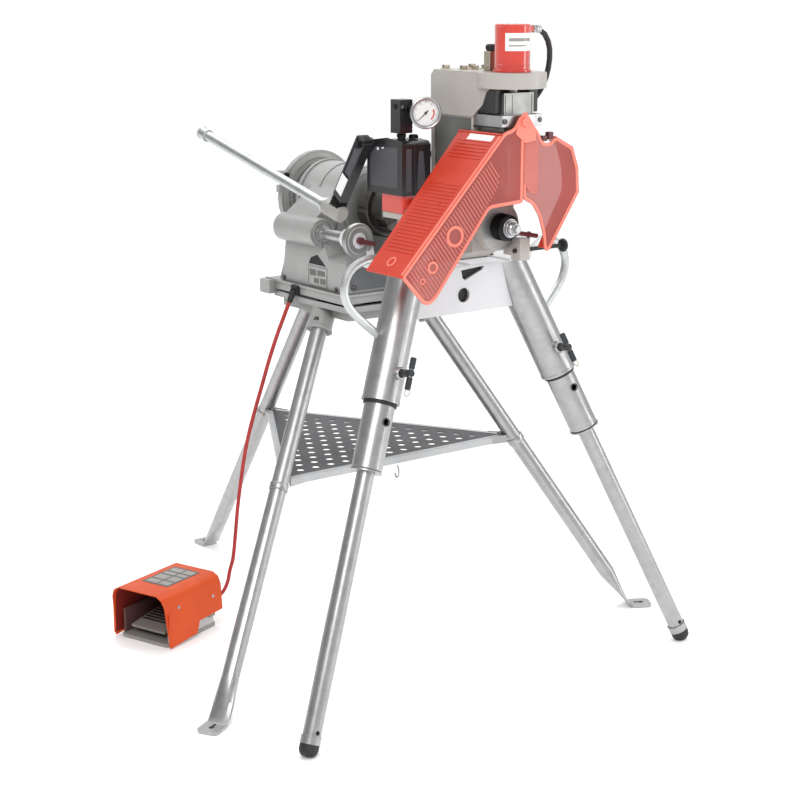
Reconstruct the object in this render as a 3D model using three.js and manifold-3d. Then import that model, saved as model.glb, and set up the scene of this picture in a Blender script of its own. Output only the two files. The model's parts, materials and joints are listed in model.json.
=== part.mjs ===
// Hydraulic roll groover on a pipe power drive and tripod stand.
// Millimetres, +Z up, floor at z = 0. X = 0 is the machine's plane of symmetry, with the pipe
// axis and both roll shafts in it. The groover's working side faces -Y, the power drive is behind it.
import * as THREE from 'three';
import { mergeVertices } from 'three/addons/utils/BufferGeometryUtils.js';
import Module from 'manifold-3d';

const wasm = await Module();
wasm.setup();

// ---------------------------------------------------------------- driving dimensions
const GAP = 0.3;                 // clearance between pieces that touch
const CENTRE_SHIFT = 16;         // y of the groover's own frame, so that the origin is mid-length

const STAND_Y = -77;             // centre of the tripod stand
const STAND_LEG_R = 21.1;        // 1 1/4 inch pipe
const STAND_LEG_BORE = 17.6;
const STAND_FOOT_RADIUS = 765;   // leg axis at the floor, from the stand's centre
const STAND_LEG_LEAN = 0.676;    // outward run per unit of height
const STAND_LEG_TOP = 880;
const STAND_TOP = 905;           // upper face of the stand head
const STAND_SOCKET_R = 31;
const TRAY_TOP = 500;
const TRAY_CLIP_R = 27;

const AXIS_Z = 1133;             // spindle and drive roll axis
const BASE_TOP = 934;            // upper face of the power drive's base plate
const CASE_FRONT = -165;
const CASE_REAR = 35;
const BARREL_R = 96;             // round part of the gear case
const BAR_X = 170;               // support bars
const BAR_Z = 1077;
const BAR_R = 14;
const BAR_END = -330;

const GEAR_MODULE = 4;
const GEAR_TEETH = 40;
const PINION_TEETH = 8;
const GEAR_FRONT = -150;
const GEAR_REAR = -120;
const MOTOR_Z = AXIS_Z - GEAR_MODULE * (GEAR_TEETH + PINION_TEETH) / 2;

const SHAFT_R = 15;              // groover's drive shaft
const ROLL_FRONT = -702;         // front face of the drive roll
const ROLL_R = 30;
const COLUMN_REAR = -487;        // groover's cast C-frame
const COLUMN_FRONT = -640;
const COLUMN_HALF = 60;
const HEAD_HALF = 65;
const HEAD_TOP = 1485;
const HEAD_BOTTOM = 1450;
const RAM_Y = -700;              // ram, cylinder and upper roll lie over this point
const NOSE_R = 78;
const CYLINDER_R = 40;
const CYLINDER_TOP = 1590;
const GROOVE_ROLL_R = 40;
const DEPTH_TOP = 1529;          // top of the groove depth stop
const ROLL_OPENING = 24;         // gap between the rolls with the ram up
const GROOVE_ROLL_Z = AXIS_Z + ROLL_R + ROLL_OPENING + GROOVE_ROLL_R;

const LEG_X0 = 595;              // groover leg axis at the floor
const LEG_Y0 = -729;
const LEG_RUN_X = -0.4344;       // change of x and y per unit of height
const LEG_RUN_Y = 0.2125;
const SLEEVE_R = 44.45;          // 3 inch pipe
const SLEEVE_BORE = 39;
const COLLAR_R = 36.5;           // 2 1/2 inch pipe
const LEG_R = 21.1;              // 1 1/4 inch pipe
const SLEEVE_TOP = 1060;         // before its end is cut level under the deck
const SLEEVE_BOTTOM = 739;
const COLLAR_BOTTOM = 591;
const COLLAR_TOP = 960;
const PIN_Z = 800;
const LOCK_PIN_R = 6;
const FOOT_END = 32;             // height of the leg pipe's lower end
const FOOT_CAP_R = 22.5;

const PANEL_Y = -540;            // groover's front plate
const PANEL_TOP = 1026;
const PANEL_BOTTOM = 912;
const DECK_TOP = 1042;

const GUARD_Y = -750;            // front face of both guards
const GUARD_WALL = 4;
const PIVOT = [-5, 1377];        // x and z of the guards' common pivot

const PUMP = { left: -200, right: -118, front: -557, rear: -421, bottom: 1206, top: 1332 };
const LEVER_X = -222;
const LEVER_PIVOT = [-437, 1316];   // y and z
const SOCKET = [-322, 1150];        // handle socket, y and z
const HANDLE_TIP = [285, 1292];

const SWITCH_AT = [-553, 100];   // foot switch: middle of its front edge
const SWITCH_TURN = 20;          // degrees about Z
const SWITCH_TOP = 146;
const SWITCH_LENGTH = 232;
const SWITCH_ENTRY = -50;        // the cord goes in this far off the foot switch's middle
const CORD_R = 5;

// ---------------------------------------------------------------- materials
function paint(color, roughness, metalness) {
  return new THREE.MeshStandardMaterial({ color, roughness, metalness });
}


const GALVANISED = paint(0xb4b6b8, 0.45, 0.8);
const CAST_GREY = paint(0xb2a79d, 0.6, 0.1);
const DRIVE_GREY = paint(0xb1b1b1, 0.6, 0.1);
const PLATE_WHITE = paint(0xe1e0e6, 0.5, 0.1);
const DARK_STEEL = paint(0x4c4a48, 0.5, 0.7);
const BRIGHT_STEEL = paint(0xd2d3d6, 0.3, 0.9);
const BLACK_PAINT = paint(0x3b3a3c, 0.45, 0.1);
const RUBBER = paint(0x161616, 0.8, 0);
const RED_PAINT = paint(0xd7452f, 0.35, 0.1);
const RED_PLASTIC = paint(0xdc4b34, 0.35, 0);
const DARK_RED = paint(0x6b2730, 0.5, 0);
const CORD_RED = paint(0xb0323a, 0.5, 0);
const ZINC_YELLOW = paint(0xc8bfa4, 0.4, 0.7);
const TRAY_GREY = paint(0x5f6165, 0.5, 0.6);
const DIAL_WHITE = paint(0xeeeeee, 0.4, 0);

// ---------------------------------------------------------------- shape helpers
const V = (x, y, z) => new THREE.Vector3(x, y, z);

// A closed solid from any geometry, with its faces turned outwards.
function solid(shape) {
  if (!shape.isBufferGeometry) return shape;
  const plain = shape.clone();
  plain.deleteAttribute('normal');
  plain.deleteAttribute('uv');
  const merged = mergeVertices(plain, 1e-3);
  const position = merged.attributes.position;
  const corners = Array.from(merged.index.array);
  const kept = [];
  let volume = 0;
  for (let i = 0; i < corners.length; i += 3) {
    const [a, b, c] = corners.slice(i, i + 3);
    if (a === b || b === c || c === a) continue;
    kept.push(a, b, c);
    const [p, q, r] = [a, b, c].map((corner) => V().fromBufferAttribute(position, corner));
    volume += p.dot(q.cross(r));
  }
  if (volume < 0) kept.reverse();
  const vertProperties = Float32Array.from(position.array);
  return new wasm.Manifold(new wasm.Mesh({ numProp: 3, vertProperties, triVerts: Uint32Array.from(kept) }));
}

const join = (...shapes) => shapes.map(solid).reduce((whole, next) => whole.add(next));
const cut = (shape, ...tools) => tools.map(solid).reduce((left, tool) => left.subtract(tool), solid(shape));

function node(name, shape, material) {
  const mesh = solid(shape).getMesh();
  const geometry = new THREE.BufferGeometry();
  geometry.setAttribute('position', new THREE.BufferAttribute(Float32Array.from(mesh.vertProperties), 3));
  geometry.setIndex(new THREE.BufferAttribute(Uint32Array.from(mesh.triVerts), 1));
  geometry.computeVertexNormals();
  const piece = new THREE.Mesh(geometry, material);
  piece.name = name;
  return piece;
}

// A block between two opposite corners.
function block(low, high) {
  const size = high.map((value, axis) => value - low[axis]);
  const middle = high.map((value, axis) => (value + low[axis]) / 2);
  return new THREE.BoxGeometry(...size).translate(...middle);
}

// A cylinder, or a cone, between two points.
function rod(radius, from, to, sides = 24, endRadius = radius) {
  const start = V(...from);
  const along = V(...to).sub(start);
  const turn = new THREE.Quaternion().setFromUnitVectors(V(0, 1, 0), along.clone().normalize());
  const shape = new THREE.CylinderGeometry(endRadius, radius, along.length(), sides);
  return shape.applyQuaternion(turn).translate(...start.addScaledVector(along, 0.5).toArray());
}

// A round hole that clears a rod of this radius by the standard gap.
function bore(radius, from, to, sides = 20) {
  return rod(radius / Math.cos(Math.PI / sides) + GAP, from, to, sides);
}

// A cylinder along Y.
const rodY = (radius, x, z, from, to, sides = 24) => rod(radius, [x, from, z], [x, to, z], sides);
const boreY = (radius, x, z, from, to, sides = 20) => bore(radius, [x, from, z], [x, to, z], sides);

// A turned piece: profile is [radius, distance] pairs along the axis.
function turned(profile, from, direction, sides = 32) {
  const points = profile.map(([radius, distance]) => new THREE.Vector2(radius, distance));
  const turn = new THREE.Quaternion().setFromUnitVectors(V(0, 1, 0), V(...direction).normalize());
  return new THREE.LatheGeometry(points, sides).applyQuaternion(turn).translate(...from);
}

const outline = (points) => new THREE.Shape(points.map(([a, b]) => new THREE.Vector2(a, b)));

// A flat shape pushed along x, y or z. Across x its outline is (y, z), across y it is (x, z).
function prism(shape, from, to, across) {
  const settings = { depth: to - from, bevelEnabled: false, curveSegments: 6 };
  const geometry = new THREE.ExtrudeGeometry(Array.isArray(shape) ? outline(shape) : shape, settings);
  const frame = new THREE.Matrix4();
  if (across === 'x') frame.makeBasis(V(0, 1, 0), V(0, 0, 1), V(1, 0, 0)).setPosition(from, 0, 0);
  if (across === 'y') frame.makeBasis(V(1, 0, 0), V(0, 0, 1), V(0, -1, 0)).setPosition(0, to, 0);
  if (across === 'z') frame.setPosition(0, 0, from);
  return geometry.applyMatrix4(frame);
}

function roundedRectangle(left, bottom, right, top, radius) {
  const shape = new THREE.Shape();
  shape.moveTo(left + radius, bottom);
  shape.lineTo(right - radius, bottom);
  shape.absarc(right - radius, bottom + radius, radius, -Math.PI / 2, 0);
  shape.lineTo(right, top - radius);
  shape.absarc(right - radius, top - radius, radius, 0, Math.PI / 2);
  shape.lineTo(left + radius, top);
  shape.absarc(left + radius, top - radius, radius, Math.PI / 2, Math.PI);
  shape.lineTo(left, bottom + radius);
  shape.absarc(left + radius, bottom + radius, radius, Math.PI, Math.PI * 1.5);
  return shape;
}

function regularPolygon(radius, sides) {
  const angles = Array.from({ length: sides }, (_, i) => 2 * Math.PI * i / sides);
  return outline(angles.map((angle) => [radius * Math.cos(angle), radius * Math.sin(angle)]));
}

// A round bar bent along a smooth curve through the points.
function bentBar(points, radius, steps, sides = 12) {
  const path = new THREE.CatmullRomCurve3(points.map((point) => V(...point)), false, 'centripetal');
  return new THREE.ExtrudeGeometry(regularPolygon(radius, sides), { steps, extrudePath: path });
}

// A closed skin over elliptical sections { centre, u, v }.
function loft(sections, sides = 12) {
  const positions = [];
  const index = [];
  for (const { centre, u, v } of sections) {
    for (let i = 0; i < sides; i += 1) {
      const angle = 2 * Math.PI * i / sides;
      const point = centre.clone().addScaledVector(u, Math.cos(angle)).addScaledVector(v, Math.sin(angle));
      positions.push(...point.toArray());
    }
  }
  for (let row = 0; row < sections.length - 1; row += 1) {
    for (let i = 0; i < sides; i += 1) {
      const next = (i + 1) % sides;
      const a = row * sides + i;
      const b = row * sides + next;
      index.push(a, b, a + sides, b, b + sides, a + sides);
    }
  }
  const last = (sections.length - 1) * sides;
  for (let i = 1; i < sides - 1; i += 1) {
    index.push(0, i + 1, i);
    index.push(last, last + i, last + i + 1);
  }
  const geometry = new THREE.BufferGeometry();
  geometry.setAttribute('position', new THREE.Float32BufferAttribute(positions, 3));
  geometry.setIndex(index);
  return geometry;
}

const radians = (degrees) => degrees * Math.PI / 180;

// ---------------------------------------------------------------- tripod stand
function standLegAt(angle, height) {
  const reach = STAND_FOOT_RADIUS - STAND_LEG_LEAN * height;
  return V(reach * Math.cos(angle), STAND_Y + reach * Math.sin(angle), height);
}

const onStandLeg = (angle, low, high) => [low, high].map((height) => standLegAt(angle, height).toArray());

// A pipe leg whose lower end is pressed flat and bent out level, with a bolt hole.
function standLeg(angle) {
  const side = V(-Math.sin(angle), Math.cos(angle), 0);
  const outward = V(Math.cos(angle), Math.sin(angle), 0);
  const slope = Math.hypot(STAND_LEG_LEAN, 1);
  const across = outward.clone().addScaledVector(V(0, 0, 1), STAND_LEG_LEAN).divideScalar(slope);
  const section = (centre, width, thickness, normal) => ({
    centre,
    u: side.clone().multiplyScalar(width),
    v: normal.clone().multiplyScalar(thickness),
  });
  const level = (reach, height) => V(0, STAND_Y, height).addScaledVector(outward, reach);
  const between = across.clone().add(V(0, 0, 1)).normalize();
  const pad = prism(roundedRectangle(STAND_FOOT_RADIUS - 4, -28, STAND_FOOT_RADIUS + 58, 28, 14), 0, 7, 'z');
  const leg = loft([
    section(level(STAND_FOOT_RADIUS + 14, 3.5), 26, 3, V(0, 0, 1)),
    section(level(STAND_FOOT_RADIUS + 6, 3.5), 27, 3.2, V(0, 0, 1)),
    section(standLegAt(angle, 12), 28, 4, between),
    section(standLegAt(angle, 45), 27, 9, across),
    section(standLegAt(angle, 100), STAND_LEG_R, STAND_LEG_R, across),
    section(standLegAt(angle, STAND_LEG_TOP), STAND_LEG_R, STAND_LEG_R, across),
  ], 14);
  const inside = rod(STAND_LEG_BORE, ...onStandLeg(angle, 140, 950), 12);
  const holeAt = level(STAND_FOOT_RADIUS + 32, 0);
  const hole = rod(6.5, [holeAt.x, holeAt.y, -10], [holeAt.x, holeAt.y, 20], 12);
  return cut(join(leg, pad.rotateZ(angle).translate(0, STAND_Y, 0)), inside, hole);
}

function stand(group) {
  const legs = [['left', radians(-150)], ['right', radians(-30)], ['rear', radians(90)]];
  const plateEdge = [
    [-172, -296], [172, -296], [178, -120], [172, 30], [60, 150], [-60, 150], [-172, 30], [-178, -120],
  ];
  let head = join(
    prism(plateEdge, STAND_TOP - 14, STAND_TOP, 'z'),
    block([-150, -270, STAND_TOP - 40], [150, 20, STAND_TOP - 12]),
  );
  head = cut(head, block([-120, -240, STAND_TOP - 60], [120, -10, STAND_TOP - 14]));
  const bores = [];
  for (const [, angle] of legs) {
    head = join(head, rod(STAND_SOCKET_R, ...onStandLeg(angle, 832, STAND_TOP - 8)));
    bores.push(bore(STAND_LEG_R, ...onStandLeg(angle, 780, STAND_LEG_TOP + 1)));
  }
  head = cut(head, ...bores, block([-400, -400, STAND_TOP], [400, 400, STAND_TOP + 60]));
  group.add(node('stand_head', head, DRIVE_GREY));
  for (const [name, angle] of legs) group.add(node(`stand_leg_${name}`, standLeg(angle), GALVANISED));
  group.add(node('stand_tray', tray(legs.map(([, angle]) => angle)), TRAY_GREY));
}

// A triangular perforated tray with folded edges, whose corner clips hold the three legs.
function tray(angles) {
  const corners = angles.map((angle) => standLegAt(angle, TRAY_TOP));
  const middle = V(0, STAND_Y, TRAY_TOP);
  const inset = (distance) => corners.map((corner) => {
    const inward = middle.clone().sub(corner).normalize();
    const point = corner.clone().addScaledVector(inward, distance);
    return [point.x, point.y];
  });
  const plate = prism(inset(-6), TRAY_TOP - 25, TRAY_TOP, 'z');
  const underside = prism(inset(4), TRAY_TOP - 30, TRAY_TOP - 3, 'z');
  const clips = angles.map((angle) => rod(TRAY_CLIP_R, ...onStandLeg(angle, TRAY_TOP - 28, TRAY_TOP), 16));
  const legHoles = angles.map((angle) => (
    bore(STAND_LEG_R, ...onStandLeg(angle, TRAY_TOP - 90, TRAY_TOP + 90), 16)
  ));
  const holes = [];
  const pitch = 66;
  const edgeRadius = 165;
  for (let row = -3; row <= 6; row += 1) {
    for (let column = -5; column <= 5; column += 1) {
      const x = (column + (row % 2 === 0 ? 0 : 0.5)) * pitch;
      const y = STAND_Y + row * pitch * 0.866;
      const reach = angles.map((angle) => -(x * Math.cos(angle) + (y - STAND_Y) * Math.sin(angle)));
      if (Math.max(...reach) >= edgeRadius) continue;
      holes.push(rod(10, [x, y, TRAY_TOP - 10], [x, y, TRAY_TOP + 5], 8));
    }
  }
  return cut(join(cut(plate, underside), ...clips), ...legHoles, ...holes);
}

// ---------------------------------------------------------------- power drive
function gear(teeth, toothAt, z) {
  const step = 2 * Math.PI / teeth;
  const outer = GEAR_MODULE * (teeth / 2 + 0.75);
  const root = GEAR_MODULE * (teeth / 2 - 1.1);
  const corners = [[root, -0.4], [outer, -0.12], [outer, 0.12], [root, 0.4]];
  const points = [];
  for (let tooth = 0; tooth < teeth; tooth += 1) {
    for (const [radius, share] of corners) {
      const angle = toothAt + (tooth + share) * step;
      points.push([radius * Math.cos(angle), radius * Math.sin(angle)]);
    }
  }
  return prism(points, GEAR_FRONT, GEAR_REAR, 'y').translate(0, 0, z);
}

function gearCase() {
  const floor = BASE_TOP + GAP;
  const barrel = rodY(BARREL_R, 0, AXIS_Z, CASE_FRONT, CASE_REAR, 32);
  const lower = prism([
    [-150, floor], [150, floor], [130, 1000],
    [BARREL_R, AXIS_Z], [-BARREL_R, AXIS_Z], [-130, 1000],
  ], CASE_FRONT, CASE_REAR, 'y');
  const frontHousing = prism(roundedRectangle(-168, floor, 168, 1022, 14), -286, CASE_FRONT + 5, 'y');
  let casting = join(barrel, lower, frontHousing);
  for (const side of [-1, 1]) {
    const flank = prism([
      [-258, floor], [-4, floor], [-24, BAR_Z - 20], [-188, BAR_Z - 20],
    ], Math.min(side * 100, side * 168), Math.max(side * 100, side * 168), 'x');
    const edge = side * BAR_X;
    const saddle = prism([
      [edge, BAR_Z - 30], [edge, BAR_Z + 34], [side * 84, AXIS_Z + 44], [0, AXIS_Z], [0, BAR_Z - 30],
    ], -160, -26, 'y');
    casting = join(casting, flank, saddle, rodY(36, edge, BAR_Z, -190, -22, 24));
    casting = cut(casting, boreY(BAR_R, edge, BAR_Z, -200, -45, 16));
    const recess = prism([
      [-202, floor + 60], [-124, floor + 60], [-134, floor + 76], [-164, floor + 86],
    ], side * 168 - 4, side * 168 + 4, 'x');
    casting = cut(casting, recess);
  }
  const inside = [
    rodY(BARREL_R - 8, 0, AXIS_Z, CASE_FRONT + 8, CASE_REAR - 8, 24),
    block([8 - BARREL_R, CASE_FRONT + 8, floor - 5], [BARREL_R - 8, CASE_REAR - 8, AXIS_Z]),
    rodY(42, 0, AXIS_Z, CASE_FRONT - 10, CASE_REAR + 10, 24),
    rodY(80, 0, AXIS_Z, -300, CASE_FRONT - 0.5, 28),
  ];
  return cut(casting, ...inside);
}

function driveBase() {
  const plate = prism(roundedRectangle(-176, -290, 176, 62, 10), 911, BASE_TOP, 'z');
  const pieces = [plate];
  for (const side of [-1, 1]) {
    pieces.push(block([side * 185 - 12, 16, 899], [side * 185 + 12, 60, BASE_TOP]));
    for (const y of [-262, 8]) {
      pieces.push(block([side * 135 - 18, y - 18, STAND_TOP + GAP], [side * 135 + 18, y + 18, 915]));
    }
  }
  const opening = block([-96, -155, 890], [96, 20, 950]);
  return cut(join(...pieces), opening);
}

// The spindle tube with its chuck body in front: three radial slots hold the jaws.
function spindle() {
  const body = turned([
    [30, -292], [60, -292], [64, -286], [64, -192], [40, -186], [40, 62], [30, 62], [30, -292],
  ], [0, 0, AXIS_Z], [0, 1, 0], 28);
  const slots = [0, 1, 2].map((jaw) => (
    block([-10.4, -300, 12], [10.4, -259.6, 80]).rotateY(jaw * 2 * Math.PI / 3).translate(0, 0, AXIS_Z)
  ));
  return cut(body, ...slots);
}

function powerDrive(group) {
  group.add(node('drive_base', driveBase(), DRIVE_GREY));
  group.add(node('gear_case', gearCase(), DRIVE_GREY));
  const cover = turned([
    [43, 0], [BARREL_R - 3, 0], [BARREL_R - 3, 6], [78, 12], [43, 12], [43, 0],
  ], [0, CASE_REAR + GAP, AXIS_Z], [0, 1, 0], 28);
  group.add(node('rear_cover', cover, DRIVE_GREY));
  for (const [name, side] of [['left', -1], ['right', 1]]) {
    const bar = join(
      rodY(BAR_R, side * BAR_X, BAR_Z, BAR_END, -50, 20),
      rodY(19, side * BAR_X, BAR_Z, -204, -190 - GAP, 20),
    );
    group.add(node(`support_bar_${name}`, bar, BRIGHT_STEEL));
  }
  group.add(node('spindle', spindle(), DARK_STEEL));
  const wheelGear = cut(
    gear(GEAR_TEETH, -Math.PI / 2, AXIS_Z),
    boreY(40, 0, AXIS_Z, -200, 0),
  );
  group.add(node('spindle_gear', wheelGear, DARK_STEEL));
  let wheel = turned([
    [64.6, -244], [72, -244], [76, -238], [76, -206], [72, -200], [64.6, -200], [64.6, -244],
  ], [0, 0, AXIS_Z], [0, 1, 0], 24);
  for (let grip = 0; grip < 6; grip += 1) {
    const angle = grip * Math.PI / 3;
    wheel = cut(wheel, rodY(10, 81 * Math.cos(angle), AXIS_Z + 81 * Math.sin(angle), -250, -190, 8));
  }
  group.add(node('chuck_wheel', wheel, DARK_STEEL));
  for (const jaw of [0, 1, 2]) {
    const shape = prism([
      [SHAFT_R + GAP, -304], [24, -308], [40, -300], [58, -292], [58, -260], [SHAFT_R + GAP, -260],
    ].map(([z, y]) => [y, z]), -10, 10, 'x');
    shape.rotateY(jaw * 2 * Math.PI / 3).translate(0, 0, AXIS_Z);
    group.add(node(`chuck_jaw_${jaw + 1}`, shape, DARK_STEEL));
  }
  const handwheel = join(
    turned([
      [40.4, 48], [76, 48], [80, 52], [80, 64], [104, 70],
      [118, 74], [118, 90], [112, 96], [40.4, 96], [40.4, 48],
    ], [0, 0, AXIS_Z], [0, 1, 0], 28),
    block([-124, 74, AXIS_Z + 16], [-108, 88, AXIS_Z + 34]),
  );
  group.add(node('centering_wheel', handwheel, DRIVE_GREY));
  const motor = turned([
    [12, -108], [42, -108], [42, 14], [12, 14], [12, 6], [35, 6], [35, -100], [12, -100], [12, -108],
  ], [0, 0, MOTOR_Z], [0, 1, 0], 24);
  group.add(node('motor_housing', motor, DARK_STEEL));
  const rotor = join(
    rodY(33, 0, MOTOR_Z, -92, -2, 24),
    rodY(8, 0, MOTOR_Z, GEAR_REAR - 2, 10, 16),
    gear(PINION_TEETH, Math.PI / 2 + Math.PI / PINION_TEETH, MOTOR_Z),
  );
  group.add(node('motor_rotor', rotor, DARK_STEEL));
  const inlet = join(
    block([90, 62 + GAP, 914], [126, 74, 932]),
    rodY(9, 108, 923, 70, 92, 16),
  );
  group.add(node('mains_inlet', cut(inlet, rodY(4.5, 108, 923, 78, 100, 12)), RUBBER));
}

// ---------------------------------------------------------------- groover
function legAt(side, height) {
  return [side * (LEG_X0 + LEG_RUN_X * height), LEG_Y0 + LEG_RUN_Y * height, height];
}

const legDirection = (side) => V(...legAt(side, 100)).sub(V(...legAt(side, 0))).normalize();

const legDistance = (low, high) => V(...legAt(1, high)).distanceTo(V(...legAt(1, low)));

// The front of a leg tube, square to its axis.
const legFacing = (side) => V(0, -1, 0).projectOnPlane(legDirection(side)).normalize();

function grooverFrame() {
  const column = prism([
    [COLUMN_REAR, DECK_TOP + GAP], [COLUMN_REAR, 1400], [COLUMN_FRONT, 1400],
    [COLUMN_FRONT, 1075], [-596, 1066], [-546, DECK_TOP + GAP],
  ], -COLUMN_HALF, COLUMN_HALF, 'x');
  const head = prism([
    [COLUMN_REAR, 1384], [COLUMN_REAR, HEAD_TOP - 12], [COLUMN_REAR - 12, HEAD_TOP], [RAM_Y, HEAD_TOP],
    [RAM_Y, HEAD_BOTTOM], [-688, 1442], [-674, 1412], [-656, 1398], [COLUMN_FRONT, 1384],
  ], -HEAD_HALF, HEAD_HALF, 'x');
  const nose = rod(NOSE_R, [0, RAM_Y, HEAD_BOTTOM], [0, RAM_Y, HEAD_TOP], 36);
  const flange = rodY(56, 0, AXIS_Z, -664, COLUMN_FRONT + 2, 32);
  const shelf = block([-192, -552, 1150], [4 - COLUMN_HALF, -470, 1164]);
  const rib = prism([[4 - COLUMN_HALF, 1080], [4 - COLUMN_HALF, 1152], [-180, 1152]], -516, -504, 'y');
  const stabilizerArm = block([36, -664, 1062], [66, COLUMN_FRONT + 4, 1096]);
  const ramSlot = block([-44, RAM_Y - 26, 1300], [44, COLUMN_FRONT, HEAD_TOP - 14]);
  const ramBore = bore(14, [0, RAM_Y, 1440], [0, RAM_Y, HEAD_TOP + 10], 16);
  const shaftBore = boreY(SHAFT_R, 0, AXIS_Z, -800, -400);
  return cut(join(column, head, nose, flange, shelf, rib, stabilizerArm), ramSlot, ramBore, shaftBore);
}

// Front plate, deck and rear arms. The power drive's bars end in the two sockets.
function grooverBase() {
  const plate = prism([
    [-176, PANEL_TOP + 4], [176, PANEL_TOP + 4], [200, PANEL_BOTTOM], [-200, PANEL_BOTTOM],
  ], PANEL_Y, PANEL_Y + 8, 'y');
  const notch = [
    [-12, PANEL_TOP - 11], [58, PANEL_TOP - 6], [54, PANEL_TOP - 14],
    [0, PANEL_TOP - 36], [-8, PANEL_TOP - 30],
  ];
  const pieces = [
    plate,
    prism([
      [-200, PANEL_Y - 10], [200, PANEL_Y - 10], [200, -524], [130, -440], [-130, -440], [-200, -524],
    ], PANEL_TOP, DECK_TOP, 'z'),
    block([-150, -452, PANEL_TOP - 90], [150, -440, PANEL_TOP + 4]),
  ];
  for (const side of [-1, 1]) {
    const inner = Math.min(side * 128, side * 150);
    pieces.push(prism([
      [-452, 1004], [-452, DECK_TOP - 4], [-350, DECK_TOP - 4], [-344, 1062], [-298, 1062],
      [-298, 1040], [-330, 1010],
    ], inner, inner + 22, 'x'));
    pieces.push(rodY(40, side * BAR_X, BAR_Z, -346, -334, 28));
    pieces.push(rodY(24, side * BAR_X, BAR_Z, -338, -296, 24));
  }
  const tools = [
    rodY(18.5, -4, 955, PANEL_Y - 20, PANEL_Y + 20, 24),
    prism(notch, PANEL_Y - 20, PANEL_Y + 20, 'y'),
  ];
  for (const side of [-1, 1]) {
    tools.push(boreY(BAR_R, side * BAR_X, BAR_Z, BAR_END - GAP, -250, 16));
    tools.push(cut(
      bore(SLEEVE_R, legAt(side, SLEEVE_BOTTOM), legAt(side, SLEEVE_TOP), 28),
      block([-400, -800, PANEL_TOP], [400, 0, 1200]),
    ));
  }
  return cut(join(...pieces), ...tools);
}

// Welded inner leg: a wide collar inside the sleeve and a narrower pipe down to the floor.
function legTube(side) {
  const foot = FOOT_END;
  const collar = legDistance(foot, COLLAR_BOTTOM);
  const end = legDistance(foot, COLLAR_TOP);
  const wall = 4;
  const tube = turned([
    [LEG_R - wall, 0], [LEG_R, 0], [LEG_R, collar], [COLLAR_R - 4, collar], [COLLAR_R, collar + 5],
    [COLLAR_R, end], [COLLAR_R - wall, end], [COLLAR_R - wall, collar + 24],
    [LEG_R - wall, collar + 8], [LEG_R - wall, 0],
  ], legAt(side, foot), legDirection(side).toArray(), 16);
  const facing = legFacing(side);
  const holes = [[696, 8, COLLAR_R], [900, 8, COLLAR_R], [52, 5, LEG_R]].map(([height, radius, reach]) => {
    const centre = V(...legAt(side, height));
    const from = centre.clone().addScaledVector(facing, reach - 12);
    return rod(radius, from.toArray(), centre.addScaledVector(facing, reach + 10).toArray(), 10);
  });
  return cut(tube, ...holes);
}

function legSleeve(side) {
  const run = legDistance(SLEEVE_BOTTOM, SLEEVE_TOP);
  const neck = COLLAR_R / Math.cos(Math.PI / 24) + GAP;
  const sleeve = turned([
    [neck, 0], [SLEEVE_R, 0], [SLEEVE_R, run], [SLEEVE_BORE, run], [SLEEVE_BORE, 60],
    [neck, 50], [neck, 0],
  ], legAt(side, SLEEVE_BOTTOM), legDirection(side).toArray(), 24);
  const centre = V(...legAt(side, PIN_Z));
  const facing = legFacing(side);
  const inner = centre.clone().addScaledVector(facing, 20);
  const outer = centre.clone().addScaledVector(facing, 60);
  const hole = rod(LOCK_PIN_R + GAP, inner.toArray(), outer.toArray(), 12);
  return cut(sleeve, hole, block([-400, -800, PANEL_TOP - GAP], [400, 0, 1300]));
}

// Sprung T-handled pin that holds the inner leg.
function lockPin(side) {
  const centre = V(...legAt(side, PIN_Z));
  const facing = legFacing(side);
  const along = legDirection(side);
  const at = (reach, rise = 0) => (
    centre.clone().addScaledVector(facing, reach).addScaledVector(along, rise).toArray()
  );
  return join(
    rod(LOCK_PIN_R, at(COLLAR_R + GAP), at(90), 8),
    rod(9, at(SLEEVE_R + 1), at(SLEEVE_R + 34), 10),
    rod(5.5, at(86, -36), at(86, 34), 8),
  );
}

function carryHandle(side) {
  const route = [
    [201, -530, 1034], [222, -529, 1053], [252, -526, 1064], [286, -522, 1061], [318, -520, 1044],
    [335, -520, 1016], [337, -520, 990], [326, -522, 960], [296, -527, 926], [236, -535, 874],
  ].map(([x, y, z]) => [side * x, y, z]);
  const sleeve = rod(SLEEVE_R + GAP, legAt(side, SLEEVE_BOTTOM), legAt(side, SLEEVE_TOP), 28);
  const deck = block([-200 - GAP, PANEL_Y - 10, PANEL_TOP], [200 + GAP, -440, DECK_TOP + GAP]);
  return cut(bentBar(route, 10, 20, 10), sleeve, deck);
}

function ramSlide() {
  const body = prism([
    [-43.5, 1276], [43.5, 1276], [43.5, 1440], [-43.5, 1440],
  ], RAM_Y - 25.5, COLUMN_FRONT - 2, 'y');
  const forkEdge = [[-26, 1213], [26, 1213], [43.5, 1250], [43.5, 1280], [-43.5, 1280], [-43.5, 1250]];
  const forks = [[-725.5, -713], [-667, -655]].map(([from, to]) => prism(forkEdge, from, to, 'y'));
  const piston = rod(14, [0, RAM_Y, 1436], [0, RAM_Y, 1560], 16);
  const axleBore = boreY(10, 0, GROOVE_ROLL_Z, -740, -640, 16);
  return cut(join(body, ...forks, piston), axleBore);
}

function ramCylinder() {
  const tube = turned([
    [0, 0], [43, 0], [43, 5], [CYLINDER_R, 7], [CYLINDER_R, 102], [38, CYLINDER_TOP - HEAD_TOP - GAP],
    [0, CYLINDER_TOP - HEAD_TOP - GAP],
  ], [0, RAM_Y, HEAD_TOP + GAP], [0, 0, 1], 28);
  const fitting = rod(8.5, [34, RAM_Y, 1578], [56, RAM_Y, 1578], 6);
  return cut(join(tube, fitting), bore(14, [0, RAM_Y, HEAD_TOP - 5], [0, RAM_Y, 1572], 16));
}

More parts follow.
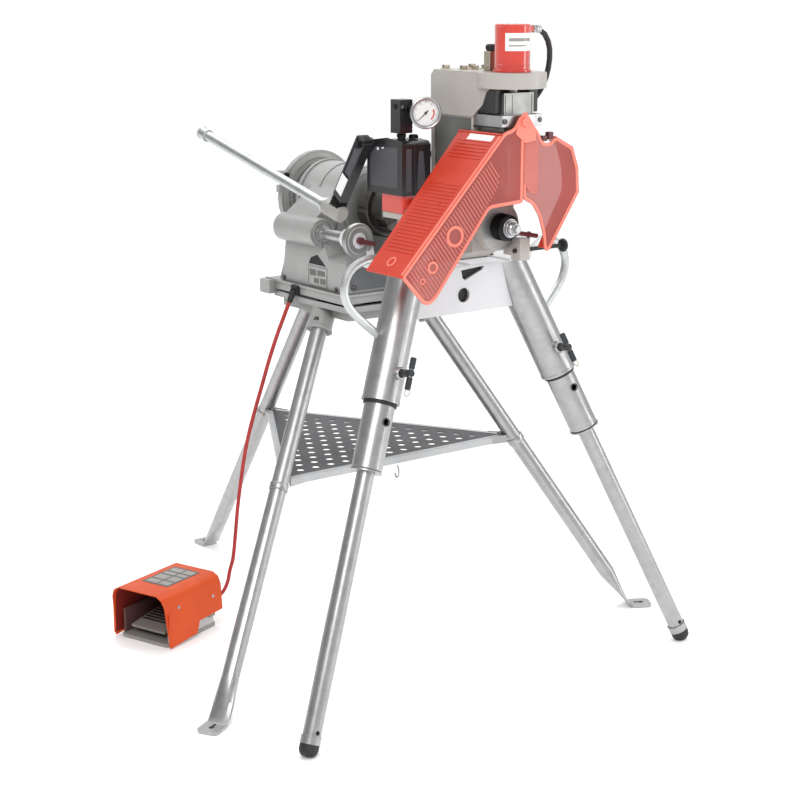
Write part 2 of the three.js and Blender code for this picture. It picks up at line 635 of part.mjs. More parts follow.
function grooveRoll() {
  const rim = GROOVE_ROLL_R;
  return turned([
    [0, -725.5], [10, -725.5], [10, -712], [rim - 6, -712], [rim - 5, -694], [rim, -694],
    [rim, -688], [rim - 5, -688], [rim - 6, -668], [10, -668], [10, -655], [0, -655],
  ], [0, 0, GROOVE_ROLL_Z], [0, 1, 0], 24);
}

function driveRoll() {
  return turned([
    [SHAFT_R + GAP, ROLL_FRONT], [24, ROLL_FRONT], [ROLL_R, ROLL_FRONT + 4], [ROLL_R, -692],
    [ROLL_R - 4, -690], [ROLL_R - 4, -686], [ROLL_R, -684], [ROLL_R, -666],
    [SHAFT_R + GAP, -666], [SHAFT_R + GAP, ROLL_FRONT],
  ], [0, 0, AXIS_Z], [0, 1, 0], 24);
}

function driveShaft() {
  return turned([
    [0, -732], [8, -732], [9, -722], [SHAFT_R - 3, -720],
    [SHAFT_R, -716], [SHAFT_R, -222], [12, -218], [0, -218],
  ], [0, 0, AXIS_Z], [0, 1, 0], 24);
}

// Carries the guards' pivot, in a U round the ram slide.
function guardBracket() {
  const arms = prism([
    [-738, 1366], [COLUMN_FRONT - GAP, 1366], [COLUMN_FRONT - GAP, 1382], [-652, 1392], [-738, 1392],
  ], -60, 60, 'x');
  return cut(arms, block([-45, -727, 1350], [45, -600, 1400]));
}

// A domed plug pushed on the end of the leg pipe.
function footCap(side) {
  const plug = turned([
    [0, -4], [14, -2], [20, 4], [FOOT_CAP_R, 12], [FOOT_CAP_R, FOOT_END + 4], [0, FOOT_END + 4],
  ], legAt(side, 5), legDirection(side).toArray(), 20);
  const pipe = rod(LEG_R + GAP, legAt(side, FOOT_END - GAP), legAt(side, FOOT_END + 100), 20);
  return cut(plug, pipe, block([-1000, -1000, -60], [1000, 0, 0]));
}

function stabilizer(group) {
  const screwFrom = [200, -680, 1075];
  const housing = block([36, -696, 1053], [66, -664 - GAP, 1104]);
  const screwHole = rod(5 + GAP, [0, -680, 1075], screwFrom, 12);
  group.add(node('stabilizer_block', cut(housing, screwHole), ZINC_YELLOW));
  const screw = rod(5, [30, -680, 1075], [180, -680, 1075], 12);
  const grip = turned([
    [0, 0], [13, 0], [15, 2], [15, 8], [12, 11], [0, 11],
  ], [178, -680, 1075], [1, 0, 0], 16);
  group.add(node('stabilizer_knob', join(screw, grip), RUBBER));
}

function grooverLegs(group) {
  for (const [name, side] of [['left', -1], ['right', 1]]) {
    group.add(node(`leg_sleeve_${name}`, legSleeve(side), GALVANISED));
    group.add(node(`leg_tube_${name}`, legTube(side), GALVANISED));
    group.add(node(`foot_cap_${name}`, footCap(side), RUBBER));
    group.add(node(`lock_pin_${name}`, lockPin(side), DARK_STEEL));
    group.add(node(`carry_handle_${name}`, carryHandle(side), GALVANISED));
  }
}

function groover(group) {
  group.add(node('groover_base', grooverBase(), PLATE_WHITE));
  group.add(node('groover_frame', grooverFrame(), CAST_GREY));
  group.add(node('ram_cylinder', ramCylinder(), RED_PAINT));
  group.add(node('ram_slide', ramSlide(), BRIGHT_STEEL));
  group.add(node('guard_bracket', guardBracket(), BRIGHT_STEEL));
  group.add(node('groove_roll', grooveRoll(), BRIGHT_STEEL));
  group.add(node('drive_shaft', driveShaft(), DARK_STEEL));
  group.add(node('drive_roll', driveRoll(), DARK_STEEL));
  group.add(node('depth_stop', block([-21, -648, HEAD_TOP + GAP], [3, -626, DEPTH_TOP]), ZINC_YELLOW));
  const knob = turned([
    [0, 0], [10, 0], [12, 3], [12, 12], [9, 15], [0, 15],
  ], [-9, -637, DEPTH_TOP + GAP], [0, 0, 1], 16);
  group.add(node('depth_knob', knob, RUBBER));
  grooverLegs(group);
  stabilizer(group);
  const lever = join(
    rodY(9, -BAR_X, BAR_Z, -358, -346 - GAP, 16),
    prism([[-170, 1082], [-130, 1072], [-128, 1064], [-134, 1062], [-170, 1070]], -357, -351, 'y'),
  );
  group.add(node('bar_lock_lever', lever, DARK_RED));
}

// ---------------------------------------------------------------- hand pump
const handleStart = V(LEVER_X, ...SOCKET);
const handleEnd = V(LEVER_X, ...HANDLE_TIP);
const handleAxis = handleEnd.clone().sub(handleStart).normalize();
const onHandle = (distance) => handleStart.clone().addScaledVector(handleAxis, distance).toArray();

function pumpBody() {
  const { left, right, front, rear, bottom, top } = PUMP;
  const outlineYZ = [
    [front, bottom], [rear, bottom], [rear, top - 22], [rear - 14, top - 8],
    [-499, top], [front + 10, top - 4], [front, top - 12],
  ];
  const shell = prism(outlineYZ, left, right, 'x');
  const stud = rod(9, [left + 4, ...LEVER_PIVOT], [LEVER_X - 18, ...LEVER_PIVOT], 16);
  const gaugeBlock = block([-178, -519, 1344], [-142, -483, 1420]);
  const stem = rod(9, [-160, -501, top - 10], [-160, -501, 1350], 12);
  const rib = block([left - 3, front - 3, bottom + 6], [left + 9, front + 9, top - 14]);
  const plungerBore = bore(9, [-159, -500, bottom - 5], [-159, -500, 1308], 12);
  return cut(join(shell, stud, gaugeBlock, stem, rib), plungerBore);
}

// Flat black beam from its pivot down to the handle's yoke.
function pumpLever() {
  const pivot = new THREE.Vector2(...LEVER_PIVOT);
  const end = new THREE.Vector2(...SOCKET);
  const along = end.clone().sub(pivot).normalize();
  const across = new THREE.Vector2(-along.y, along.x);
  const point = (distance, offset) => (
    pivot.clone().addScaledVector(along, distance).addScaledVector(across, offset).toArray()
  );
  const length = pivot.distanceTo(end);
  const beam = prism([
    point(-20, -10), point(-20, 8), point(-8, 17), point(length - 44, 17),
    point(length - 30, 12), point(length, 12), point(length, -12),
    point(length - 30, -12), point(length - 44, -17), point(-10, -17),
  ], LEVER_X - 11, LEVER_X + 11, 'x');
  const boss = rod(16, [LEVER_X + 9, ...LEVER_PIVOT], [PUMP.left - GAP, ...LEVER_PIVOT], 20);
  const pivotBore = bore(9, [LEVER_X - 30, ...LEVER_PIVOT], [PUMP.left + 10, ...LEVER_PIVOT], 16);
  return cut(join(beam, boss), pivotBore, bore(19, onHandle(-60), onHandle(60), 20));
}

function gaugeCase(centre, facing) {
  const from = centre.clone().addScaledVector(facing, -14);
  const body = turned([
    [0, 0], [30, 0], [34, 4], [35, 26], [33, 30], [30.5, 30], [30.5, 24], [0, 24],
  ], from.toArray(), facing.toArray(), 28);
  const back = centre.clone().addScaledVector(facing, -12);
  const elbow = [back.x, -499, centre.z];
  const across = rod(6, [-141.7, -505, centre.z], [back.x + 5, -505, centre.z], 10);
  return join(body, across, rod(6, elbow, back.toArray(), 10));
}

// The needle points down to the low end of the scale.
function gaugeNeedle(centre, facing) {
  const hub = rod(3.5, [0, 0, 0], [0, 0, 2.2], 10);
  const hand = prism([[-1.6, -8], [1.6, -8], [0.5, 24], [-0.5, 24]], 0.5, 1.5, 'z');
  const lean = radians(135);
  const across = V(0, 0, 1).cross(facing).normalize().applyAxisAngle(facing, lean);
  const up = V(0, 0, 1).applyAxisAngle(facing, lean);
  const turn = new THREE.Matrix4().makeBasis(across, up, facing).setPosition(centre);
  return join(hub, hand).transform(turn.toArray());
}

function pump(group) {
  group.add(node('pump_body', pumpBody(), BLACK_PAINT));
  const tank = cut(
    prism(roundedRectangle(-194, -552, -124, -466, 8), 1164 + GAP, PUMP.bottom - GAP, 'z'),
    bore(9, [-159, -500, 1190], [-159, -500, 1220], 12),
  );
  group.add(node('pump_tank', tank, RED_PAINT));
  group.add(node('pump_plunger', rod(9, [-159, -500, 1192], [-159, -500, 1285], 12), BRIGHT_STEEL));
  group.add(node('pump_lever', pumpLever(), BLACK_PAINT));
  const tip = handleStart.distanceTo(handleEnd);
  const handle = join(
    rod(12.5, onHandle(20), onHandle(tip), 20),
    rod(15.5, onHandle(tip - 24), onHandle(tip + 4), 20),
    rod(19, onHandle(-26), onHandle(44), 20),
  );
  group.add(node('pump_handle', handle, GALVANISED));
  const valve = turned([
    [0, 0], [5, 0], [5, 8], [12, 10], [13, 12], [13, 22], [11, 24], [0, 24],
  ], [-159, -552 - GAP, 1184], [0, -1, 0], 16);
  group.add(node('release_knob', valve, BLACK_PAINT));
  const centre = V(-135, -557, 1392);
  const facing = V(-0.5, -0.866, 0).normalize();
  group.add(node('gauge_case', gaugeCase(centre, facing), DIAL_WHITE));
  const dial = centre.clone().addScaledVector(facing, 10 + GAP);
  group.add(node('gauge_needle', gaugeNeedle(dial, facing), DARK_STEEL));
  group.add(node('hydraulic_hose', bentBar([
    [56.6, -700, 1578], [76, -700, 1577], [98, -699, 1564], [115, -695, 1535], [120, -688, 1495],
    [118, -672, 1450], [109, -636, 1404], [96, -580, 1362], [82, -520, 1332], [62, -462, 1310],
    [20, -442, 1294], [-36, -444, 1282], [-84, -456, 1274], [-104, -460, 1272],
    [PUMP.right + 0.6, -460, 1272],
  ], 6.5, 30, 8), RUBBER));
}

// ---------------------------------------------------------------- guards
const pivotHole = boreY(5, ...PIVOT, -800, -700, 12);

// The outline's outer edge, from ridgeStart to ridgeEnd, carries a wall that runs back.
function guardShell(face, ridge, frontFrom, frontTo) {
  const plate = prism(face, frontFrom, frontTo, 'y');
  const walls = ridge.slice(1).map(([x, z, depth], index) => {
    const [fromX, fromZ, fromDepth] = ridge[index];
    const inward = new THREE.Vector2(fromZ - z, x - fromX).normalize().multiplyScalar(GUARD_WALL);
    const turnSign = inward.dot(new THREE.Vector2(-x - 10, 1180 - z)) > 0 ? 1 : -1;
    const [dx, dz] = [inward.x * turnSign, inward.y * turnSign];
    const corners = [
      [fromX, frontFrom, fromZ], [x, frontFrom, z],
      [x, frontFrom + depth, z], [fromX, frontFrom + fromDepth, fromZ],
    ];
    return sheet(corners, [dx, 0, dz]);
  });
  return cut(join(plate, ...walls), pivotHole);
}

// A flat four-cornered sheet given its thickness as an offset.
function sheet(corners, offset) {
  const points = [];
  for (const [x, y, z] of corners) points.push(x, y, z);
  for (const [x, y, z] of corners) points.push(x + offset[0], y + offset[1], z + offset[2]);
  const index = [0, 1, 2, 0, 2, 3, 4, 6, 5, 4, 7, 6];
  for (let i = 0; i < 4; i += 1) {
    const next = (i + 1) % 4;
    index.push(i, i + 4, next + 4, i, next + 4, next);
  }
  const geometry = new THREE.BufferGeometry();
  geometry.setAttribute('position', new THREE.Float32BufferAttribute(points, 3));
  geometry.setIndex(index);
  return geometry;
}

function leftGuard() {
  const face = outline([
    [-62, 1357], [-34, 1364], [-16, 1392], [6, 1392], [12, 1360], [-4, 1340], [-4, 1196],
    [-101, 1190], [-250, 1004], [-268, 992], [-286, 994], [-348, 1060],
  ]);
  return guardShell(face, [[-348, 1060, 130], [-66, 1353, 154]], GUARD_Y, GUARD_Y + GUARD_WALL);
}

function rightGuard() {
  const face = outline([
    [-18, 1362], [-16, 1392], [6, 1392], [43, 1352], [57, 1328], [76, 1325], [95, 1340], [148, 1313],
    [166, 1264], [170, 1208], [84, 1082], [74, 1078], [66, 1086], [62, 1120], [48, 1162],
    [28, 1190], [0, 1204], [0, 1340],
  ]);
  const ridge = [[95, 1340, 40], [148, 1313, 55], [166, 1264, 55], [170, 1208, 55], [84, 1082, 40]];
  return guardShell(face, ridge, GUARD_Y + GUARD_WALL + GAP, GUARD_Y + 2 * GUARD_WALL + GAP);
}

function guards(group) {
  group.add(node('guard_left', leftGuard(), RED_PLASTIC));
  group.add(node('guard_right', rightGuard(), RED_PLASTIC));
  const [x, z] = PIVOT;
  const shank = rodY(5, x, z, GUARD_Y - 4, -738 - GAP, 12);
  const boltHead = rodY(11, x, z, GUARD_Y - 7, GUARD_Y - GAP, 6);
  group.add(node('guard_pivot', join(shank, boltHead), BRIGHT_STEEL));
}

// ---------------------------------------------------------------- foot switch
function placeSwitch(shape) {
  const turnedShape = shape.rotate([0, 0, SWITCH_TURN]);
  return turnedShape.translate([...SWITCH_AT, 0]);
}

// A folded hood, open at the front, whose side edges rise towards the back.
function switchCover() {
  const half = 96;
  const wall = 3;
  const section = (inset) => outline([
    [-half + inset, -inset * 10], [half - inset, -inset * 10], [half - 6 - inset, SWITCH_TOP - 30],
    [half - 14 - inset, SWITCH_TOP - 10 - inset], [half - 32, SWITCH_TOP - inset],
    [-half + 32, SWITCH_TOP - inset], [-half + 14 + inset, SWITCH_TOP - 10 - inset],
    [-half + 6 + inset, SWITCH_TOP - 30],
  ]);
  const along = new THREE.Matrix4().makeBasis(V(0, 1, 0), V(0, 0, 1), V(1, 0, 0));
  const hood = (inset, from, to) => {
    const settings = { depth: to - from, bevelEnabled: false };
    const shell = new THREE.ExtrudeGeometry(section(inset), settings);
    return shell.applyMatrix4(along).translate(from, 0, 0);
  };
  const rise = prism([
    [-80, -20], [400, -20], [400, 56], [120, 42], [107, 12], [0, 3], [-80, 3],
  ], -200, 200, 'y');
  const rake = prism([
    [-60, -10], [0, -10], [0, 0], [-18, SWITCH_TOP + 10], [-60, SWITCH_TOP + 10],
  ], -200, 200, 'y');
  const cordHole = bore(6.5, [190, SWITCH_ENTRY, 62], [SWITCH_LENGTH, SWITCH_ENTRY, 62], 12);
  return cut(hood(0, -18, SWITCH_LENGTH - 17), hood(wall, -30, SWITCH_LENGTH - 20), rise, rake, cordHole);
}

function footSwitch(group) {
  group.add(node('foot_switch_cover', placeSwitch(switchCover()), RED_PLASTIC));
  const base = join(
    prism(roundedRectangle(4, -80, 205, 80, 12), 0, 10, 'z'),
    block([150, -60, 8], [206, 60, 62]),
    block([168, -88, 34], [190, 88, 50]),
    block([194, SWITCH_ENTRY - 14, 50], [206, SWITCH_ENTRY + 14, 76]),
    rod(6.5, [200, SWITCH_ENTRY, 62], [240, SWITCH_ENTRY, 62], 12),
    turned([[0, 0], [13, 0], [13, 4], [9, 6], [6.5, 34], [0, 34]], [215.6, SWITCH_ENTRY, 62], [1, 0, 0], 12),
  );
  const pedalRecess = block([140, -62, 30], [172, 62, 70]);
  group.add(node('foot_switch_base', placeSwitch(cut(base, pedalRecess)), TRAY_GREY));
  const pedal = prism([
    [22, 26], [150, 42], [164, 42], [168, 47], [164, 53], [150, 53], [18, 34],
  ], -56, 56, 'y');
  group.add(node('foot_pedal', placeSwitch(solid(pedal)), TRAY_GREY));
  const gland = join(
    block([-186, -96, 912], [-176 - GAP, -68, 933]),
    rod(9, [-186.5, -83, 922], [-199, -80, 891], 12, 6.5),
  );
  group.add(node('cord_gland', gland, RUBBER));
  group.add(node('foot_switch_cord', bentBar([
    [-199.2, -79.9, 890.5], [-206, -77, 872], [-212, -70, 848], [-220, -56, 809], [-233, -33, 736],
    [-243, -12, 666], [-251, 10, 600], [-257, 34, 530], [-260, 55, 460], [-261, 73, 390],
    [-260, 92, 320], [-257, 109, 255], [-254, 124, 200], [-252, 138, 155], [-253.9, 151, 122],
    [-259.5, 153.6, 92], [-275, 148, 71.5], [-290, 142.5, 63.5], [-300.6, 138.6, 62],
  ], CORD_R, 40, 8), CORD_RED));
}

const machine = new THREE.Group();
machine.position.y = CENTRE_SHIFT;
stand(machine);
powerDrive(machine);
groover(machine);
pump(machine);
guards(machine);
footSwitch(machine);

export default machine;
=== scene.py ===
import json
import math

import bmesh
import bpy
from mathutils import Matrix, Vector
from mathutils.geometry import tessellate_polygon


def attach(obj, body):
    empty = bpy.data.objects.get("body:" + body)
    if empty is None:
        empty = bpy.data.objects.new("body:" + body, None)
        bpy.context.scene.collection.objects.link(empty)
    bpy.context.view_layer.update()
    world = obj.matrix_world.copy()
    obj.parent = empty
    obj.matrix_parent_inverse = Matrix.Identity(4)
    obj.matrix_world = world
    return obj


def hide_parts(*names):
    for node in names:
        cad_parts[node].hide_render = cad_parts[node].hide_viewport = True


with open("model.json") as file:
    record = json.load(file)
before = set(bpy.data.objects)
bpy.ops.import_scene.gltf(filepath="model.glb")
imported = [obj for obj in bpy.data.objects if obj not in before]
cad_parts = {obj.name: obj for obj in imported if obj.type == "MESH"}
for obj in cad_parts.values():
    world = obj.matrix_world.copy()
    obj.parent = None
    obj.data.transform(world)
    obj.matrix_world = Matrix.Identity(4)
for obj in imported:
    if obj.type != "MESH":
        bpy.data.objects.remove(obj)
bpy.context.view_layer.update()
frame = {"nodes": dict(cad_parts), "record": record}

# Points are written in millimetres in the groover's own frame: x 0 is the plane of symmetry, z 0 the
# floor, and the front is towards -y. place() turns them into the row frame's metres.
CENTRE_SHIFT = 16.0
MM = 0.001
UP = (0, 0, 1)
FRONT = (0, -1, 0)
SIDES = ((-1, "left"), (1, "right"))


def place(x, y, z):
    return Vector((x, y + CENTRE_SHIFT, z)) * MM


# -------- camera and light
MACHINE_MIDDLE = (0.0, -0.2, 0.9)
FLOOR_HALF = 300.0
FLOOR_LEVEL = -0.0006


def link_object(name, data):
    made = bpy.data.objects.new(name, data)
    bpy.context.scene.collection.objects.link(made)
    return made


def make_camera():
    data = bpy.data.cameras.new("camera")
    data.sensor_width = 36.0
    data.lens = 77.9
    data.clip_end = 60.0
    camera = link_object("camera", data)
    camera.location = (-2.566, -3.684, 1.692)
    camera.rotation_euler = (math.radians(76.256), 0.0, math.radians(-36.898))
    bpy.context.scene.camera = camera


def area_light(name, location, size, power):
    data = bpy.data.lights.new(name, "AREA")
    data.shape = "RECTANGLE"
    data.size, data.size_y = size
    data.energy = power
    light = link_object(name, data)
    light.location = location
    aim = Vector(MACHINE_MIDDLE) - Vector(location)
    light.rotation_euler = aim.to_track_quat("-Z", "Y").to_euler()


def feed(tree, value, socket):
    """Links a value that comes out of another node, and sets any other."""
    if isinstance(value, bpy.types.NodeSocket):
        tree.links.new(value, socket)
    else:
        socket.default_value = value


def add_node(tree, kind, *inputs, **values):
    """Adds a shader node with its inputs, by number or by name, and its own settings."""
    made = tree.nodes.new(kind)
    for key, value in [*enumerate(inputs), *values.items()]:
        if isinstance(key, int) or key in made.inputs:
            feed(tree, value, made.inputs[key])
        else:
            setattr(made, key, value)
    return made


def span(tree, value, low, high, to_low=0.0, to_high=1.0, kind="LINEAR"):
    """Value from to_low to to_high as it runs from low to high, and held beyond them."""
    made = add_node(tree, "ShaderNodeMapRange", value, low, high, to_low, to_high, interpolation_type=kind)
    return made.outputs["Result"]


def product(tree, first, second):
    return add_node(tree, "ShaderNodeMath", first, second, operation="MULTIPLY").outputs[0]


def make_world():
    """White behind the machine and bright overhead, dimmer on the near side and on the left,
    so that round metal shows soft bands."""
    world = bpy.data.worlds.new("studio")
    bpy.context.scene.world = world
    world.use_nodes = True
    tree = world.node_tree
    direction = add_node(tree, "ShaderNodeTexCoord").outputs["Generated"]
    split = add_node(tree, "ShaderNodeSeparateXYZ", direction)
    away = add_node(tree, "ShaderNodeVectorMath", direction, (0.6, 0.8, 0.0), operation="DOT_PRODUCT")
    overhead = span(tree, split.outputs["Z"], 0.1, 0.85, 0.50, 1.35, "SMOOTHSTEP")
    side = span(tree, split.outputs["X"], -0.9, 0.4, 0.40, 1.0, "SMOOTHSTEP")
    backdrop = span(tree, away.outputs["Value"], 0.70, 0.90, 0.0, 1.0, "SMOOTHSTEP")
    room = product(tree, overhead, side)
    level = add_node(tree, "ShaderNodeMath", room, backdrop, operation="MAXIMUM").outputs[0]
    background = tree.nodes["Background"]
    background.inputs["Strength"].default_value = 1.0
    tree.links.new(level, background.inputs["Color"])


def make_floor():
    bm = bmesh.new()
    corners = [(-1, -1), (1, -1), (1, 1), (-1, 1)]
    bm.faces.new([bm.verts.new((x * FLOOR_HALF, y * FLOOR_HALF, FLOOR_LEVEL)) for x, y in corners])
    mesh = bpy.data.meshes.new("floor")
    bm.to_mesh(mesh)
    bm.free()
    look = Finish("floor", (0.95, 0.95, 0.95), 0.9, shine=0.1)
    look.set({"Emission Color": (1.0, 1.0, 1.0, 1.0), "Emission Strength": 0.14})
    mesh.materials.append(look.material)
    link_object("floor", mesh)


def make_studio():
    area_light("key", (-3.2, -3.4, 3.8), (2.2, 2.2), 125.0)
    area_light("fill", (3.4, -3.6, 1.9), (0.8, 3.0), 45.0)
    area_light("top", (0.6, 1.8, 4.6), (3.0, 1.6), 70.0)
    make_world()
    view = bpy.context.scene.view_settings
    view.view_transform = "Standard"
    view.look = "None"
    view.exposure = 0.0
    make_floor()


# -------- materials
EVEN = (1.0, 1.0, 1.0)


class Finish:
    """A node material that is built up from layers of procedural detail."""

    def __init__(self, name, colour, roughness, metallic=0.0, coat=0.0, ior=1.5, shine=0.5):
        self.material = bpy.data.materials.new(name)
        self.material.use_nodes = True
        self.tree = self.material.node_tree
        self.shader = self.tree.nodes["Principled BSDF"]
        self.colour = (*colour, 1.0)
        self.rough = roughness
        self.normal = None
        self.at = self.node("ShaderNodeTexCoord").outputs["Object"]
        self.set({
            "Base Color": self.colour, "Roughness": roughness, "Metallic": metallic, "Coat Weight": coat,
            "Coat Roughness": 0.12, "IOR": ior, "Specular IOR Level": shine,
        })

    def set(self, settings):
        for key, value in settings.items():
            feed(self.tree, value, self.shader.inputs[key])

    def node(self, kind, *inputs, **values):
        return add_node(self.tree, kind, *inputs, **values)

    def noise(self, scale, detail=4.0, stretch=EVEN):
        vector = self.node("ShaderNodeMapping", Vector=self.at, Scale=stretch).outputs[0]
        made = self.node("ShaderNodeTexNoise", Vector=vector, Scale=scale, Detail=detail, Roughness=0.55)
        return made.outputs["Fac"]

    def tint(self, factor, colour):
        """Mixes another colour in where factor is 1."""
        made = self.node("ShaderNodeMix", data_type="RGBA", Factor=factor)
        feed(self.tree, self.colour, made.inputs[6])
        feed(self.tree, (*colour, 1.0), made.inputs[7])
        self.colour = made.outputs[2]

    def vary(self, colour, scale=8.0, low=0.35, high=0.75, stretch=EVEN):
        self.tint(span(self.tree, self.noise(scale, 5.0, stretch), low, high), colour)

    def smudge(self, amount, scale=14.0, stretch=EVEN):
        """Lets the roughness wander by amount either way."""
        low, high = max(self.rough - amount, 0.02), self.rough + amount
        value = span(self.tree, self.noise(scale, 4.0, stretch), 0.3, 0.7, low, high)
        self.set({"Roughness": value})

    def grain(self, scale, strength, distance=0.0004, stretch=EVEN):
        """Fine bumps, over any that are there already."""
        height = self.noise(scale, 3.0, stretch)
        made = self.node("ShaderNodeBump", Strength=strength, Distance=distance, Height=height)
        if self.normal:
            feed(self.tree, self.normal, made.inputs["Normal"])
        self.normal = made.outputs["Normal"]

    def worn_edges(self, colour, radius=0.0016, amount=0.8):
        """Lightens the outer edges, broken up by noise."""
        soft = self.node("ShaderNodeBevel", samples=4, Radius=radius).outputs["Normal"]
        sharp = self.node("ShaderNodeNewGeometry").outputs["Normal"]
        dot = self.node("ShaderNodeVectorMath", soft, sharp, operation="DOT_PRODUCT")
        edge = span(self.tree, dot.outputs["Value"], 0.995, 0.9)
        broken = span(self.tree, self.noise(60.0, 5.0), 0.42, 0.58, 0.0, amount)
        self.tint(product(self.tree, edge, broken), colour)

    def corner_shade(self, colour, distance=0.02, amount=0.7):
        """Painted shade that darkens corners and creases, where ambient occlusion finds them."""
        made = self.node("ShaderNodeAmbientOcclusion", samples=4, Distance=distance)
        self.tint(span(self.tree, made.outputs["AO"], 0.85, 0.35, 0.0, amount), colour)

    def done(self):
        self.set({"Base Color": self.colour, "Normal": self.normal})
        return self.material


def galvanised():
    look = Finish("galvanised", (0.43, 0.43, 0.435), 0.36, metallic=0.9)
    look.vary((0.385, 0.385, 0.39), scale=44.0, low=0.4, high=0.62)
    look.vary((0.47, 0.465, 0.455), scale=9.0, low=0.5, high=0.8)
    look.smudge(0.05, scale=60.0)
    look.grain(420.0, 0.12, 0.0003)
    return look.done()


def cast(name, colour, roughness, dark, patches, shade_colour, reach, amount, worn, wear, *pits):
    """Painted casting: patchy, with painted shade in its corners and worn at its edges, over a cast grain.
    """
    look = Finish(name, colour, roughness, coat=0.2, shine=0.35)
    look.vary(dark, scale=patches)
    look.corner_shade(shade_colour, reach, amount)
    look.worn_edges(worn, 0.002, wear)
    look.smudge(0.08)
    look.grain(*pits)
    look.grain(900.0, 0.12, 0.0002)
    return look.done()


def plate_white():
    look = Finish("plate_white", (0.72, 0.72, 0.745), 0.45)
    look.vary((0.66, 0.66, 0.68), scale=6.0)
    # Painted shade in the corners.
    look.corner_shade((0.3, 0.3, 0.31), 0.02, 0.4)
    look.smudge(0.06)
    look.grain(700.0, 0.15, 0.0002)
    return look.done()


def steel(name, colour, roughness, dark, scratch=0.15, streak=EVEN):
    look = Finish(name, colour, roughness, metallic=0.95)
    look.vary(dark, scale=22.0, low=0.35, high=0.7, stretch=streak)
    look.smudge(0.08, scale=30.0, stretch=streak)
    look.grain(260.0, scratch, 0.0002, stretch=streak)
    return look.done()


def paint(name, colour, dark, roughness, coat=0.0, shine=0.5, edge=None):
    look = Finish(name, colour, roughness, coat=coat, shine=shine)
    look.vary(dark, scale=7.0, low=0.35, high=0.8)
    if edge:
        look.worn_edges(edge, 0.0012, 0.6)
    look.smudge(0.06)
    look.grain(320.0, 0.12, 0.0003)
    return look.done()


def rubber(name, colour, light):
    look = Finish(name, colour, 0.62)
    look.vary(light, scale=30.0, low=0.45, high=0.7)
    look.smudge(0.1, scale=60.0)
    look.grain(800.0, 0.25, 0.0003)
    return look.done()


def red_plastic(name, colour, dark, alpha):
    look = Finish(name, colour, 0.33, shine=0.3)
    look.vary(dark, scale=6.0, low=0.3, high=0.75)
    look.smudge(0.06, scale=18.0)
    look.grain(240.0, 0.1, 0.0003)
    look.set({"Subsurface Weight": 0.15, "Subsurface Radius": (0.012, 0.003, 0.002), "Alpha": alpha})
    return look.done()


def glass():
    look = Finish("glass", (0.95, 0.96, 0.96), 0.03, ior=1.45)
    look.smudge(0.02, scale=30.0)
    look.grain(120.0, 0.03, 0.0001)
    look.set({"Transmission Weight": 1.0, "Alpha": 0.25})
    return look.done()


